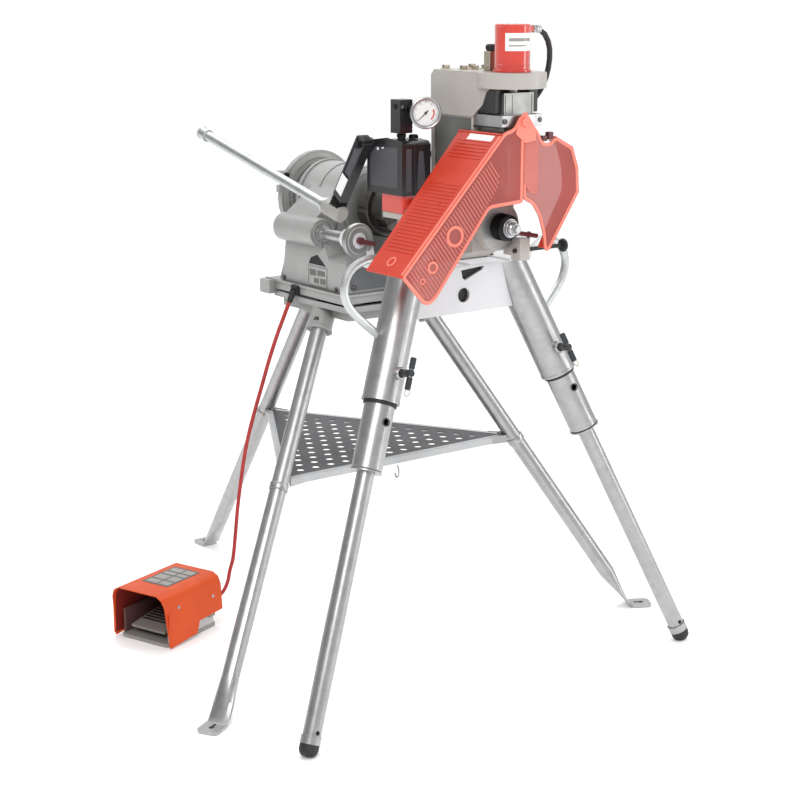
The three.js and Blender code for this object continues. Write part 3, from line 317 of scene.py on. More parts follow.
# The rows hold each function's arguments after the name, in its own order.
FINISHES = {
    cast: {
        # The fifth to seventh entries after the name give the painted shade in the corners: its colour,
        # reach and amount.
        "cast_grey": ((0.44, 0.415, 0.385), 0.42, (0.39, 0.365, 0.335), 9.0, (0.16, 0.14, 0.12), 0.03, 0.5,
                      (0.68, 0.66, 0.63), 0.45, 130.0, 0.35, 0.0008),
        "drive_grey": ((0.37, 0.372, 0.365), 0.4, (0.31, 0.31, 0.305), 11.0, (0.07, 0.07, 0.065), 0.05, 0.75,
                       (0.66, 0.66, 0.65), 0.5, 150.0, 0.3, 0.0007),
    },
    steel: {
        "dark_steel": ((0.13, 0.125, 0.12), 0.42, (0.07, 0.065, 0.06)),
        "bright_steel": ((0.50, 0.50, 0.51), 0.32, (0.36, 0.36, 0.37), 0.15, (1.0, 1.0, 0.06)),
        "zinc": ((0.56, 0.51, 0.40), 0.34, (0.45, 0.40, 0.31)),
        "dial_white": ((0.75, 0.75, 0.76), 0.2, (0.6, 0.6, 0.61)),
        "black_metal": ((0.03, 0.03, 0.032), 0.36, (0.018, 0.018, 0.02)),
        "handle_steel": ((0.60, 0.62, 0.62), 0.4, (0.48, 0.50, 0.50), 0.1),
        "machined_grey": ((0.42, 0.42, 0.41), 0.45, (0.33, 0.33, 0.32)),
        "plate_metal": ((0.50, 0.50, 0.49), 0.4, (0.36, 0.36, 0.35)),
    },
    paint: {
        "black_paint": ((0.012, 0.012, 0.013), (0.020, 0.019, 0.022), 0.34, 0.2, 0.4, (0.10, 0.10, 0.105)),
        "red_paint": ((0.64, 0.036, 0.018), (0.54, 0.028, 0.014), 0.24, 0.9),
        "red_cover": ((0.66, 0.084, 0.014), (0.58, 0.066, 0.012), 0.42, 0.0, 0.2),
        "dark_red": ((0.12, 0.02, 0.025), (0.08, 0.015, 0.018), 0.4, 0.1),
        "tray_grey": ((0.058, 0.060, 0.065), (0.085, 0.088, 0.094), 0.45, 0.0, 0.25, (0.3, 0.3, 0.31)),
        "tray_edge": ((0.50, 0.51, 0.52), (0.42, 0.43, 0.44), 0.4, 0.2),
        "tan_cast": ((0.36, 0.35, 0.325), (0.29, 0.28, 0.26), 0.45, 0.1, 0.5, (0.50, 0.49, 0.465)),
        "pedal_grey": ((0.30, 0.29, 0.27), (0.22, 0.21, 0.195), 0.45, 0.1),
        "violet_grey": ((0.075, 0.073, 0.084), (0.058, 0.056, 0.066), 0.45, 0.1, 0.3),
        # The next finish is painted shade on the drive case's front face.
        "case_front_shade": ((0.115, 0.12, 0.128), (0.09, 0.094, 0.10), 0.45, 0.1),
        # The next finish is painted shade on the column's flanks, and also the printed fields on the rating
        # plates.
        "shade_and_print_grey": ((0.115, 0.12, 0.11), (0.16, 0.165, 0.155), 0.5, 0.1),
        # The next two are painted shade inside the foot switch's hood.
        "hood_inside_shade": ((0.26, 0.022, 0.016), (0.19, 0.018, 0.014), 0.5, 0.0, 0.2),
        "switch_inside_shade": ((0.13, 0.065, 0.06), (0.09, 0.05, 0.047), 0.5, 0.0, 0.3),
        "label_white": ((0.84, 0.84, 0.83), (0.76, 0.76, 0.75), 0.3, 0.3),
        "label_grey": ((0.085, 0.082, 0.08), (0.065, 0.062, 0.06), 0.4, 0.1),
        "label_dark": ((0.24, 0.225, 0.21), (0.36, 0.34, 0.32), 0.35, 0.1),
        "dial_face": ((0.86, 0.86, 0.85), (0.80, 0.80, 0.79), 0.4, 0.1),
    },
    rubber: {
        "rubber": ((0.013, 0.013, 0.013), (0.028, 0.027, 0.026)),
        "cord_red": ((0.42, 0.028, 0.026), (0.34, 0.022, 0.022)),
        # The next finish serves printed marks, and also painted shade in gaps and recesses.
        "ink_and_shade_black": ((0.008, 0.008, 0.008), (0.014, 0.014, 0.014)),
        "pin_black": ((0.016, 0.022, 0.026), (0.03, 0.038, 0.044)),
    },
    red_plastic: {
        "red_plastic": ((0.62, 0.050, 0.022), (0.54, 0.038, 0.018), 0.96),
        # The next two are red lightened to pink by a painted highlight, on real rims, rings and bars.
        "rim_highlight_red": ((0.84, 0.24, 0.18), (0.76, 0.19, 0.14), 1.0),
        "bar_highlight_red": ((0.62, 0.18, 0.15), (0.54, 0.145, 0.12), 0.85),
        "clear_red": ((0.46, 0.095, 0.080), (0.34, 0.070, 0.060), 0.64),
    },
}
LOOKS = {"galvanised": galvanised(), "plate_white": plate_white(), "glass": glass()}
for kind, rows in FINISHES.items():
    LOOKS.update({name: kind(name, *row) for name, row in rows.items()})


# -------- shapes
def join(*parts):
    whole = bmesh.new()
    for part in parts:
        mesh = bpy.data.meshes.new("part")
        part.to_mesh(mesh)
        part.free()
        whole.from_mesh(mesh)
        bpy.data.meshes.remove(mesh)
    return whole


def lofted(rings, joined=False):
    """A skin over rings of points. Its two ends are capped, or joined to each other, and a ring of one
    point is a tip."""
    bm = bmesh.new()
    loops = [[bm.verts.new(place(*point)) for point in ring] for ring in rings]
    pairs = list(zip(loops, loops[1:]))
    if joined:
        pairs.append((loops[-1], loops[0]))
    sides = max(len(loop) for loop in loops)
    for one, two in pairs:
        for i in range(sides):
            n = (i + 1) % sides
            corners = [one[i % len(one)], one[n % len(one)], two[n % len(two)], two[i % len(two)]]
            unique = list(dict.fromkeys(corners))
            if len(unique) > 2:
                bm.faces.new(unique)
    if not joined:
        for loop in (loops[0], loops[-1]):
            if len(loop) > 2:
                bm.faces.new(loop)
    return bm


def slab(outline, low, high, across):
    """A flat outline pushed along x, y or z. Across x it is (y, z), across y (x, z), across z (x, y)."""
    order = {"x": lambda a, b, c: (c, a, b), "y": lambda a, b, c: (a, c, b), "z": lambda a, b, c: (a, b, c)}
    return lofted([[order[across](a, b, level) for a, b in outline] for level in (low, high)])


def rectangle(low, high):
    return [low, (high[0], low[1]), high, (low[0], high[1])]


def block(low, high):
    """A box between two opposite corners."""
    return slab(rectangle(low[:2], high[:2]), low[2], high[2], "z")


def frame_along(direction):
    """Two unit vectors across a direction, and the direction's own."""
    axis = Vector(direction).normalized()
    helper = Vector((0, 0, 1)) if abs(axis.z) < 0.9 else Vector((1, 0, 0))
    side = axis.cross(helper).normalized()
    return side, axis.cross(side).normalized(), axis


def circle(middle, side, other, radius, count):
    """Evenly spaced points around a middle, in the plane of two vectors."""
    turns = [2 * math.pi * i / count for i in range(count)]
    return [middle + (side * math.cos(turn) + other * math.sin(turn)) * radius for turn in turns]


def turned(profile, origin, direction, segments=48):
    """A turned piece from (radius, distance) pairs. A profile that ends off the axis closes on itself."""
    side, other, axis = frame_along(direction)
    rings = []
    for radius, distance in profile:
        middle = Vector(origin) + axis * distance
        rings.append(circle(middle, side, other, radius, segments) if radius else [middle])
    return lofted(rings, joined=profile[0][0] > 0)


def rod(radius, start, end, segments=32, edge=0.6):
    """A round bar with broken edges."""
    length = (Vector(end) - Vector(start)).length
    profile = [
        (0, 0), (radius - edge, 0), (radius, edge), (radius, length - edge), (radius - edge, length),
        (0, length),
    ]
    return turned(profile, start, Vector(end) - Vector(start), segments)


def button(radius, shoulder, top, height, origin, direction, segments=20):
    """A round head that slopes in from its shoulder to its top."""
    profile = [(0, 0), (radius, 0), (radius, shoulder), (top, height), (0, height)]
    return turned(profile, origin, direction, segments)


def disc_ring(inner, outer, start, direction, thickness, segments=56):
    """A washer with broken edges on its far face."""
    edge = min(0.5, thickness / 3)
    profile = [
        (inner, 0), (outer, 0), (outer, thickness - edge), (outer - edge, thickness),
        (inner + edge, thickness), (inner, thickness - edge),
    ]
    return turned(profile, start, direction, segments)


def hexagon(centre, direction, across, thickness):
    half = across / 2
    return button(half, thickness * 0.8, half - 1.0, thickness, centre, direction, 6)


def smooth_path(points, spacing):
    """Centripetal spline through the points, in steps of about the spacing."""
    knots = [Vector(point) for point in points]
    knots = [knots[0] * 2 - knots[1]] + knots + [knots[-1] * 2 - knots[-2]]
    path = [knots[1]]
    for a, b, c, d in zip(knots, knots[1:], knots[2:], knots[3:]):
        t0 = 0.0
        t1 = t0 + math.sqrt((b - a).length)
        t2 = t1 + math.sqrt((c - b).length)
        t3 = t2 + math.sqrt((d - c).length)
        steps = max(2, round((c - b).length / spacing))
        for step in range(1, steps + 1):
            t = t1 + (t2 - t1) * step / steps
            a1 = a * ((t1 - t) / (t1 - t0)) + b * ((t - t0) / (t1 - t0))
            a2 = b * ((t2 - t) / (t2 - t1)) + c * ((t - t1) / (t2 - t1))
            a3 = c * ((t3 - t) / (t3 - t2)) + d * ((t - t2) / (t3 - t2))
            b1 = a1 * ((t2 - t) / (t2 - t0)) + a2 * ((t - t0) / (t2 - t0))
            b2 = a2 * ((t3 - t) / (t3 - t1)) + a3 * ((t - t1) / (t3 - t1))
            path.append(b1 * ((t2 - t) / (t2 - t1)) + b2 * ((t - t1) / (t2 - t1)))
    return path


def swept(path, radius, segments=20):
    """A round bar along a path of points, with flat ends."""
    last = len(path) - 1
    tangents = [(path[min(i + 1, last)] - path[max(i - 1, 0)]).normalized() for i in range(last + 1)]
    side = frame_along(tangents[0])[0]
    rings = []
    for point, tangent in zip(path, tangents):
        side = (side - tangent * side.dot(tangent)).normalized()
        rings.append(circle(point, side, tangent.cross(side), radius, segments))
    return lofted(rings)


def smooth_faces(mesh):
    for polygon in mesh.polygons:
        polygon.use_smooth = True


def round_edges(made, width, sharpest):
    """Rounds edges sharper than an angle in degrees, by a width in millimetres."""
    edge = made.modifiers.new("rounded", "BEVEL")
    edge.width = width * MM
    edge.segments = 2
    edge.limit_method = "ANGLE"
    edge.angle_limit = math.radians(sharpest)
    return edge


def piece(name, shape, look, body="frame", bevel=0.0, replaces=()):
    """Makes a named piece from a bmesh, rides it on a body, and rounds its edges by bevel millimetres."""
    mesh = bpy.data.meshes.new(name)
    bmesh.ops.recalc_face_normals(shape, faces=shape.faces)
    shape.to_mesh(mesh)
    shape.free()
    mesh.materials.append(LOOKS[look])
    made = link_object(name, mesh)
    smooth_faces(mesh)
    mesh.set_sharp_from_angle(angle=math.radians(35.0))
    if bevel:
        round_edges(made, bevel, 32.0).harden_normals = True
    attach(made, body)
    if replaces:
        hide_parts(*replaces)
    return made


# -------- foot switch cord
# The cord hangs free, so its route is a list of given points.
CORD_ROUTE = [
    (-199.2, -79.9, 890.5), (-206, -77, 872), (-212, -70, 848), (-220, -56, 809), (-233, -33, 736),
    (-243, -12, 666), (-251, 10, 600), (-257, 34, 530), (-260, 55, 460), (-261, 73, 390), (-260, 92, 320),
    (-257, 109, 255), (-254, 124, 200), (-252, 138, 155), (-253.9, 151, 122), (-259.5, 153.6, 92),
    (-275, 148, 71.5), (-290, 142.5, 63.5), (-300.6, 138.6, 62),
]
CORD_RADIUS = 5.0


def make_cord():
    path = smooth_path(CORD_ROUTE, 6.0)
    length = sum((b - a).length for a, b in zip(path, path[1:]))
    cord = piece("foot_switch_lead", swept(path, CORD_RADIUS, 24), "cord_red",
                 replaces=("foot_switch_cord",))
    [place(*point) for point in path]


make_camera()
make_cord()
make_studio()


# -------- CAD nodes
def dress(node, look, bevel):
    """Gives a CAD node its finish and rounds its edges with modifiers."""
    made = frame["nodes"][node]
    made.data.materials.clear()
    made.data.materials.append(LOOKS[look])
    smooth_faces(made.data)
    weld = made.modifiers.new("weld", "WELD")
    weld.merge_threshold = 0.00001
    flat = made.modifiers.new("flat", "DECIMATE")
    flat.decimate_type = "DISSOLVE"
    flat.angle_limit = math.radians(1.0)
    round_edges(made, bevel, 35.0)
    made.modifiers.new("normals", "WEIGHTED_NORMAL")


BEVELS = {
    "groover_frame": 5.0, "gear_case": 4.0, "drive_base": 2.5, "stand_head": 2.5, "groover_base": 1.2,
    "pump_body": 3.0, "pump_lever": 2.0, "pump_tank": 2.0, "ram_slide": 1.2, "guard_bracket": 1.0,
    "centering_wheel": 1.5,
}
OWN_LOOK = {
    # The guard pivot's pink is a painted highlight.
    "drive_roll": "black_metal", "pump_handle": "handle_steel", "guard_pivot": "rim_highlight_red",
    "foot_pedal": "pedal_grey", "foot_switch_base": "pedal_grey", "gauge_case": "bright_steel",
    "ram_slide": "machined_grey", "stabilizer_block": "cast_grey", "carry_handle_left": "handle_steel",
    "carry_handle_right": "handle_steel",
}


def dress_nodes():
    slots = {entry["node"]: entry["material_slot"] for entry in frame["record"]["subparts"]}
    for node in frame["nodes"]:
        dress(node, OWN_LOOK.get(node, slots[node]), BEVELS.get(node, 0.6))


# -------- outlines
def mitre(outline, i):
    """The corner i of an outline, and the way across its edges there, scaled to keep their width."""
    point = Vector(outline[i])
    before = (point - Vector(outline[i - 1])).normalized()
    after = (Vector(outline[(i + 1) % len(outline)]) - point).normalized()
    along = (before + after).normalized()
    return point, Vector((-along.y, along.x)) / max(along.dot(before), 0.5)


def closed_bead(outline, level, width, height, segments=10):
    """A raised bead that follows an outline of (x, z) points on a plane at y = level."""
    rings = []
    for i in range(len(outline)):
        point, side = mitre(outline, i)
        middle = Vector((point.x, level, point.y))
        outward = Vector((side.x, 0, side.y)) * width / 2
        rings.append(circle(middle, outward, Vector((0, height, 0)), 1.0, segments))
    return lofted(rings, joined=True)


def inset(outline, distance):
    """Moves a counter-clockwise or clockwise outline inwards."""
    area = sum(a[0] * b[1] - b[0] * a[1] for a, b in zip(outline, outline[1:] + outline[:1]))
    moved = []
    for i in range(len(outline)):
        point, side = mitre(outline, i)
        moved.append(tuple(point + side * math.copysign(distance, area)))
    return moved


def rounded(outline, radius, steps=5):
    """Rounds the corners of an outline."""
    points = []
    for i in range(len(outline)):
        corner = Vector(outline[i])
        before = Vector(outline[i - 1]) - corner
        after = Vector(outline[(i + 1) % len(outline)]) - corner
        reach = min(radius, before.length * 0.45, after.length * 0.45)
        start = corner + before.normalized() * reach
        end = corner + after.normalized() * reach
        for step in range(steps + 1):
            t = step / steps
            points.append(tuple(start * (1 - t) ** 2 + corner * 2 * t * (1 - t) + end * t ** 2))
    return points


# -------- guards
LEFT_FACE = [
    (-62, 1357), (-34, 1364), (-16, 1392), (6, 1392), (12, 1360), (-4, 1340), (-4, 1196), (-101, 1190),
    (-250, 1004), (-268, 992), (-286, 994), (-348, 1060),
]
LEFT_RIDGE = [(-348, 1060, 130), (-66, 1353, 154)]
RIGHT_FACE = [
    (-18, 1362), (-16, 1392), (6, 1392), (43, 1352), (57, 1328), (76, 1325), (95, 1340), (148, 1313),
    (166, 1264), (170, 1208), (84, 1082), (74, 1078), (66, 1086), (62, 1120), (48, 1162), (28, 1190),
    (0, 1204), (0, 1340),
]
RIGHT_RIDGE = [(95, 1340, 40), (148, 1313, 55), (166, 1264, 55), (170, 1208, 55), (84, 1082, 40)]
LEFT_FRONT = -750.0
RIGHT_FRONT = -745.7
LEFT_MIDDLE = (-150, 1100)
RIGHT_MIDDLE = (60, 1220)
WALL = 4.0
RIB_PITCH = 9.6
RIB_WIDTH = 3.6
RIB_GAP = (262, 330)
RINGS = [(-200, 1137, 17, 24), (-262, 1074, 9, 14), (-290, 1046, 4, 7)]
BAR_FIELD = [(-330, 1060), (-282, 1006), (-264, 1004), (-106, 1200), (-76, 1240), (-76, 1324)]
BAR_SLANT = math.radians(52)
BAR_PITCH = 8.6
BAR_COUNT = 38
BAR_WIDTH = 3.8


def wall_frame(start, end, middle):
    """Unit vectors along a ridge edge and inwards from it, in (x, z)."""
    along = (Vector(end[:2]) - Vector(start[:2])).normalized()
    inward = Vector((along.y, -along.x))
    if inward.dot(Vector(middle) - Vector(start[:2])) < 0:
        inward = -inward
    return along, inward


def wall_panel(start, end, front, middle):
    """The part of a guard's side wall between two ridge points."""
    inward = wall_frame(start, end, middle)[1]
    rings = []
    for offset in (0.0, WALL):
        one, two = Vector(start[:2]) + inward * offset, Vector(end[:2]) + inward * offset
        rings.append([(x, front + depth, z) for (x, z), depth in
                      ((one, 0.0), (two, 0.0), (two, end[2]), (one, start[2]))])
    return lofted(rings)


def left_box(runs, depths, heights):
    """A raised box on the left wall: along its ridge, back from the front face, and out of the wall."""
    start, end = LEFT_RIDGE
    along, inward = wall_frame(start, end, LEFT_MIDDLE)
    rings = []
    for height in heights:
        places = [Vector(start[:2]) + along * run - inward * height for run in runs]
        rings.append([(x, LEFT_FRONT + depth, z) for (x, z), depth in
                      zip((*places, *reversed(places)), (depths[0], depths[0], depths[1], depths[1]))])
    return lofted(rings)


def stretch_inside(point, along, outline):
    """Where a line enters and leaves a convex counter-clockwise outline, as distances from the point."""
    enter, leave = -1000.0, 1000.0
    for a, b in zip(outline, outline[1:] + outline[:1]):
        edge = Vector(b) - Vector(a)
        inward = Vector((-edge.y, edge.x))
        limit = -inward.dot(point - Vector(a)) / inward.dot(along)
        if inward.dot(along) > 0:
            enter = max(enter, limit)
        else:
            leave = min(leave, limit)
    return enter, leave


def slanted_bars():
    """Bars that run down to the right across the left guard's face, broken by its rings."""
    along = Vector((math.cos(BAR_SLANT), -math.sin(BAR_SLANT)))
    across = Vector((-along.y, along.x))
    side = across * BAR_WIDTH / 2
    bars = []
    for i in range(BAR_COUNT):
        point = Vector(BAR_FIELD[0]) + across * (BAR_PITCH * (i + 0.5))
        spans = [stretch_inside(point, along, BAR_FIELD)]
        for x, z, _, outer in RINGS:
            offset = Vector((x, z)) - point
            middle, aside = offset.dot(along), abs(offset.dot(across))
            if aside < outer:
                half = math.sqrt(outer ** 2 - aside ** 2) + 3
                spans = [cut for low, high in spans
                         for cut in ((low, min(high, middle - half)), (max(low, middle + half), high))]
        for low, high in spans:
            if high - low > 6:
                one, two = point + along * low, point + along * high
                outline = [one - side, two - side, two + side, one + side]
                bars.append(slab(outline, LEFT_FRONT - 0.6, LEFT_FRONT + 1.2, "y"))
    return join(*bars)


def guard_piece(side, name, shape, look, bevel=0.0, replaces=()):
    piece(f"guard_{side}_{name}", shape, look, f"guard_{side}", bevel, replaces)


def left_guard():
    start, end = LEFT_RIDGE
    face = slab(rounded(LEFT_FACE, 9), LEFT_FRONT + 0.6, LEFT_FRONT + 3.2, "y")
    guard_piece("left", "face", face, "clear_red", 0.3, ("guard_left",))
    guard_piece("left", "wall", wall_panel(start, end, LEFT_FRONT, LEFT_MIDDLE), "red_plastic", 0.8)
    edge = closed_bead(inset(rounded(LEFT_FACE, 10), 4.4), LEFT_FRONT + 1.8, 9.2, 2.6)
    # The rim's pink is a painted highlight.
    guard_piece("left", "rim", edge, "rim_highlight_red")
    along, inward = wall_frame(start, end, LEFT_MIDDLE)
    length = (Vector(end[:2]) - Vector(start[:2])).length
    ribs = []
    run = 62.0
    while run < length - 20:
        if not RIB_GAP[0] < run < RIB_GAP[1]:
            depth = start[2] + (end[2] - start[2]) * run / length
            ribs.append(left_box((run, run + RIB_WIDTH), (18, depth - 16), (-0.4, 1.3)))
        run += RIB_PITCH
    guard_piece("left", "wall_ribs", join(*ribs), "red_plastic", 0.4)
    ends = (((0, 5), start[2]), ((length - 5, length), end[2] - 1))
    hem = [left_box(runs, (0, depth), (-0.5, 2.0)) for runs, depth in ends]
    guard_piece("left", "hem", join(*hem), "red_plastic", 0.8)
    guard_piece("left", "fold", left_box((6, length - 6), (1, 7), (-0.8, 1.6)), "rim_highlight_red", 0.9)
    centre = Vector(start[:2]) + along * 34
    boss = disc_ring(9, 13, (centre.x, LEFT_FRONT + 66, centre.y), (-inward.x, 0, -inward.y), 1.8)
    guard_piece("left", "wall_ring", boss, "rim_highlight_red")
    # The bars' pinkish red is a painted highlight.
    guard_piece("left", "bars", slanted_bars(), "bar_highlight_red", 0.5)
    rings = [disc_ring(inner, outer, (x, LEFT_FRONT + 1.5, z), FRONT, 2.8) for x, z, inner, outer in RINGS]
    guard_piece("left", "rings", join(*rings), "rim_highlight_red")
    pad = [(-30, 1352), (-12, 1394), (0, 1400), (6, 1392), (30, 1360), (30, 1334), (-2, 1330)]
    pad = slab(rounded(pad, 4), LEFT_FRONT - 1.6, LEFT_FRONT + 0.8, "y")
    guard_piece("left", "hinge_pad", pad, "rim_highlight_red", 0.8)
    sticker = left_box((length - 26, length - 7), (22, 108), (-0.1, 0.5))
    piece("guard_left_sticker", sticker, "label_white", "guard_left", 0.2)


def right_guard():
    face = slab(rounded(RIGHT_FACE, 8), RIGHT_FRONT + 0.6, RIGHT_FRONT + 3.2, "y")
    guard_piece("right", "face", face, "clear_red", 0.3, ("guard_right",))
    walls = [wall_panel(a, b, RIGHT_FRONT, RIGHT_MIDDLE) for a, b in zip(RIGHT_RIDGE, RIGHT_RIDGE[1:])]
    guard_piece("right", "walls", join(*walls), "red_plastic", 0.6)
    edge = closed_bead(inset(rounded(RIGHT_FACE, 9), 4.2), RIGHT_FRONT + 1.8, 8.6, 2.4)
    # The rim's pink is a painted highlight.
    guard_piece("right", "rim", edge, "rim_highlight_red")
    band = rounded([(2, 1330), (2, 1238), (20, 1216), (43, 1210), (43, 1340), (36, 1350)], 5)
    # The band's pinkish red is a painted highlight.
    guard_piece("right", "band", slab(band, RIGHT_FRONT - 0.9, RIGHT_FRONT + 0.8, "y"), "bar_highlight_red", 0.6)
    clip = join(
        block((58, RIGHT_FRONT + 3, 1330), (72, RIGHT_FRONT + 24, 1342)),
        block((76, RIGHT_FRONT + 3, 1334), (90, RIGHT_FRONT + 16, 1350)),
    )
    piece("guard_right_clip", clip, "dark_red", "guard_right", 1.0)


# -------- head and ram
CYLINDER = (0, -700)
SPINDLE_HEIGHT = 1133
COLUMN_TOP = 1485


def cylinder_wrap(inner, outer, low, high, start, end, steps=40):
    """A sheet around the ram's cylinder between two angles in degrees."""
    rings = []
    for step in range(steps + 1):
        angle = math.radians(start + (end - start) * step / steps)
        rings.append([
            (CYLINDER[0] + radius * math.cos(angle), CYLINDER[1] + radius * math.sin(angle), z)
            for radius, z in ((inner, low), (outer, low), (outer, high), (inner, high))
        ])
    return lofted(rings)


def spindle_rings(*rows):
    """Rings about the spindle. A row is the inner and outer radius, y, facing along y and thickness."""
    return join(*[disc_ring(inner, outer, (0, y, SPINDLE_HEIGHT), (0, facing, 0), thickness)
                  for inner, outer, y, facing, thickness in rows])


def grip_bars(count, radius, at, bar, segments=8, edge=0.3):
    """Thin bars in a circle. at() gives a bar's two ends from its two distances off the middle."""
    bars = []
    for i in range(count):
        angle = 2 * math.pi * i / count
        start, end = at(radius * math.cos(angle), radius * math.sin(angle))
        bars.append(rod(bar, start, end, segments, edge))
    return join(*bars)


def cylinder_details():
    piece("cylinder_label", cylinder_wrap(39.9, 40.5, 1532, 1571, -154, -44), "label_white")
    lines = join(
        cylinder_wrap(40.4, 40.7, 1553, 1560, -142, -62), cylinder_wrap(40.4, 40.7, 1542, 1545, -142, -80),
    )
    piece("cylinder_label_lines", lines, "label_dark")
    bands = join(
        disc_ring(39.4, 41.0, (*CYLINDER, 1500), UP, 2.0), disc_ring(39.2, 40.6, (*CYLINDER, 1583), UP, 2.4),
    )
    piece("cylinder_bands", bands, "red_paint")
    fittings = join(
        hexagon((*CYLINDER, 1588.5), UP, 17, 2.2), hexagon((57, -700, 1578), (1, 0, 0), 19, 9),
        disc_ring(6.4, 8.6, (66, -700, 1578), (1, -0.02, -0.06), 14),
    )
    piece("cylinder_fittings", fittings, "bright_steel")


def column_details():
    bolts = []
    for x, y in ((-26, -560), (-2, -572), (-40, -512), (38, -560), (38, -512)):
        bolts.append(disc_ring(4, 12, (x, y, COLUMN_TOP), UP, 1.6, 32))
        bolts.append(hexagon((x, y, COLUMN_TOP + 1.4), UP, 18, 8))
    piece("head_bolts", join(*bolts), "zinc")
    # Thin dark sheets on the column's flanks, below the head, are painted shade under its overhang.
    shade_sheets = [block((side * 60.9, -634, 1172), (side * 59.4, -492, 1380)) for side, _ in SIDES]
    piece("column_side_shade_sheets", join(*shade_sheets), "shade_and_print_grey", bevel=0.6)
    ribs = []
    for side, _ in SIDES:
        for back, front in ((-640, -634), (-500, -487)):
            ribs.append(block((side * 59.6, back, 1166), (side * 63.0, front, 1384)))
    piece("column_edges", join(*ribs), "cast_grey", bevel=1.0)
    shields = join(
        block((-63.0, -716, 1394), (-45.2, -646, 1449)), block((45.2, -708, 1394), (72.0, -646, 1449)),
    )
    piece("ram_shields", shields, "black_paint", bevel=3.0)


def slide_details():
    guides = [
        block((left, -725.9, 1296), (right, -725.3, 1436))
        for left, right in ((-40.5, -38.5), (-20, -18.6), (37, 38.4))
    ]
    piece("slide_guides", join(*guides), "dark_steel", "ram", 0.2)
    bolts = [hexagon((x, -738, 1379), FRONT, 13, height) for x, height in ((-52, 5), (52, 1.2))]
    piece("bracket_bolts", join(*bolts), "dark_steel")
    piece("bracket_shim", block((-62, -736, 1363), (-46, -640, 1366.4)), "black_paint", bevel=0.5)


def roll_details():
    flange = spindle_rings((31, 55, -664, -1, 1.6), (50, 56, -664, -1, 2.6))
    piece("roll_flange", flange, "machined_grey")
    washers = spindle_rings(
        (15.6, 22, -702, -1, 3.0), (15.4, 18.5, -706, -1, 4.0), (9.2, 12.6, -720, -1, 5.0),
    )
    piece("shaft_rings", washers, "bright_steel", "spindle")
    knurl = grip_bars(36, 30, lambda x, z: ((x, -691, SPINDLE_HEIGHT + z), (x, -667, SPINDLE_HEIGHT + z)),
                      1.1, 6, 0.2)
    piece("drive_roll_knurl", knurl, "black_metal", "spindle")
    link = join(
        rod(5.5, (28, -690, 1119), (92, -690, 1106), 20), rod(8, (24, -690, 1120), (32, -690, 1118), 20),
        rod(7.5, (64, -690, 1112), (70, -690, 1110.7), 20),
    )
    piece("stabilizer_link", link, "dark_red")


def knob_grips():
    grip = grip_bars(16, 14.8, lambda y, z: ((180.5, -680 + y, 1075 + z), (186, -680 + y, 1075 + z)), 1.3)
    piece("stabilizer_knob_grip", grip, "rubber", "stabilizer_knob")
    grip = grip_bars(14, 11.9, lambda x, y: ((-9 + x, -637 + y, 1532.6), (-9 + x, -637 + y, 1541)), 1.1)
    piece("depth_knob_grip", grip, "rubber", "depth_knob")
    marks = [block((-21.3, -644, z), (-20.9, -629, z + 0.8)) for z in range(1492, 1526, 5)]
    piece("depth_scale", join(*marks), "dark_steel")


# -------- pump, lever and gauge
def pump_details():
    # A lighter grey sheet on the pump's left side, which faces the light, is painted light.
    outline = [(-541, 1222), (-434, 1222), (-434, 1306), (-446, 1316), (-541, 1318)]
    side = slab(rounded(outline, 4), -200.8, -199.6, "x")
    piece("pump_side_sheen", side, "violet_grey", bevel=0.3)
    # Two lighter strips on the pump's front, one slanted, are painted highlights.
    front = join(
        slab(rounded(rectangle((-190, 1214), (-174, 1312)), 3), -557.8, -556.6, "y"),
        slab(rounded([(-158, 1220), (-132, 1220), (-140, 1306), (-152, 1306)], 3), -557.6, -556.6, "y"),
    )
    piece("pump_front_highlights", front, "violet_grey", bevel=0.3)
    brow = [(-560, 1316), (-421, 1310), (-421, 1313), (-435, 1326), (-499, 1335), (-560, 1330)]
    lip = join(slab(brow, -203, -199, "x"), block((-168, -560, 1206), (-163, -556.5, 1322)))
    piece("pump_lip", lip, "black_paint", bevel=1.0)
    dots = join(
        button(3.6, 1.2, 2.6, 2.0, (-200.4, -465, 1308), (-1, 0, 0)),
        button(3.4, 1.2, 2.4, 2.0, (-200.4, -484, 1312), (-1, 0, 0)),
    )
    piece("pump_screws", dots, "label_white")
    piece("tank_stripe", block((-152, -552.6, 1167), (-145, -551.6, 1203)), "label_white")
    bolts = [hexagon((x, -552, 1172), FRONT, 9, 3) for x in (-186, -132)]
    piece("tank_bolts", join(*bolts), "bright_steel")
    plugs = join(
        button(11, 6, 8, 9, (-140, -520, 1332), UP, 24), hexagon((-160, -501, 1334), UP, 22, 8),
        hexagon((-160, -519.2, 1398), FRONT, 15, 6),
        turned([(0, 0), (6, 0), (6, 2.0), (0, 2.0)], (-178, -501, 1404), (-1, 0, 0), 20),
    )
    piece("pump_plugs", plugs, "black_metal")
    spot = turned([(0, 0), (4.4, 0), (4.4, 1.4), (0, 1.4)], (-172, -519.3, 1404), FRONT, 20)
    piece("gauge_block_plug", spot, "bright_steel")
    fittings = join(
        rod(9, (-170, -500, 1150), (-170, -500, 1164), 20),
        rod(6, (-186, -520, 1146), (-150, -540, 1152), 16),
        rod(8, (-150, -540, 1140), (-150, -540, 1164), 20),
    )
    piece("tank_fittings", fittings, "zinc")


LEVER_PIVOT = Vector((-437, 1316))
LEVER_END = Vector((-322, 1150))
HANDLE_START = Vector((-222, -322, 1150))
HANDLE_TIP = Vector((-222, 285, 1292))


def lever_box(run_from, run_to, across_from, across_to, x_from, x_to):
    """A block set along the pump lever, by distance from its pivot and across it."""
    along = (LEVER_END - LEVER_PIVOT).normalized()
    across = Vector((-along.y, along.x))
    corners = rectangle((run_from, across_from), (run_to, across_to))
    return slab([LEVER_PIVOT + along * a + across * b for a, b in corners], x_from, x_to, "x")


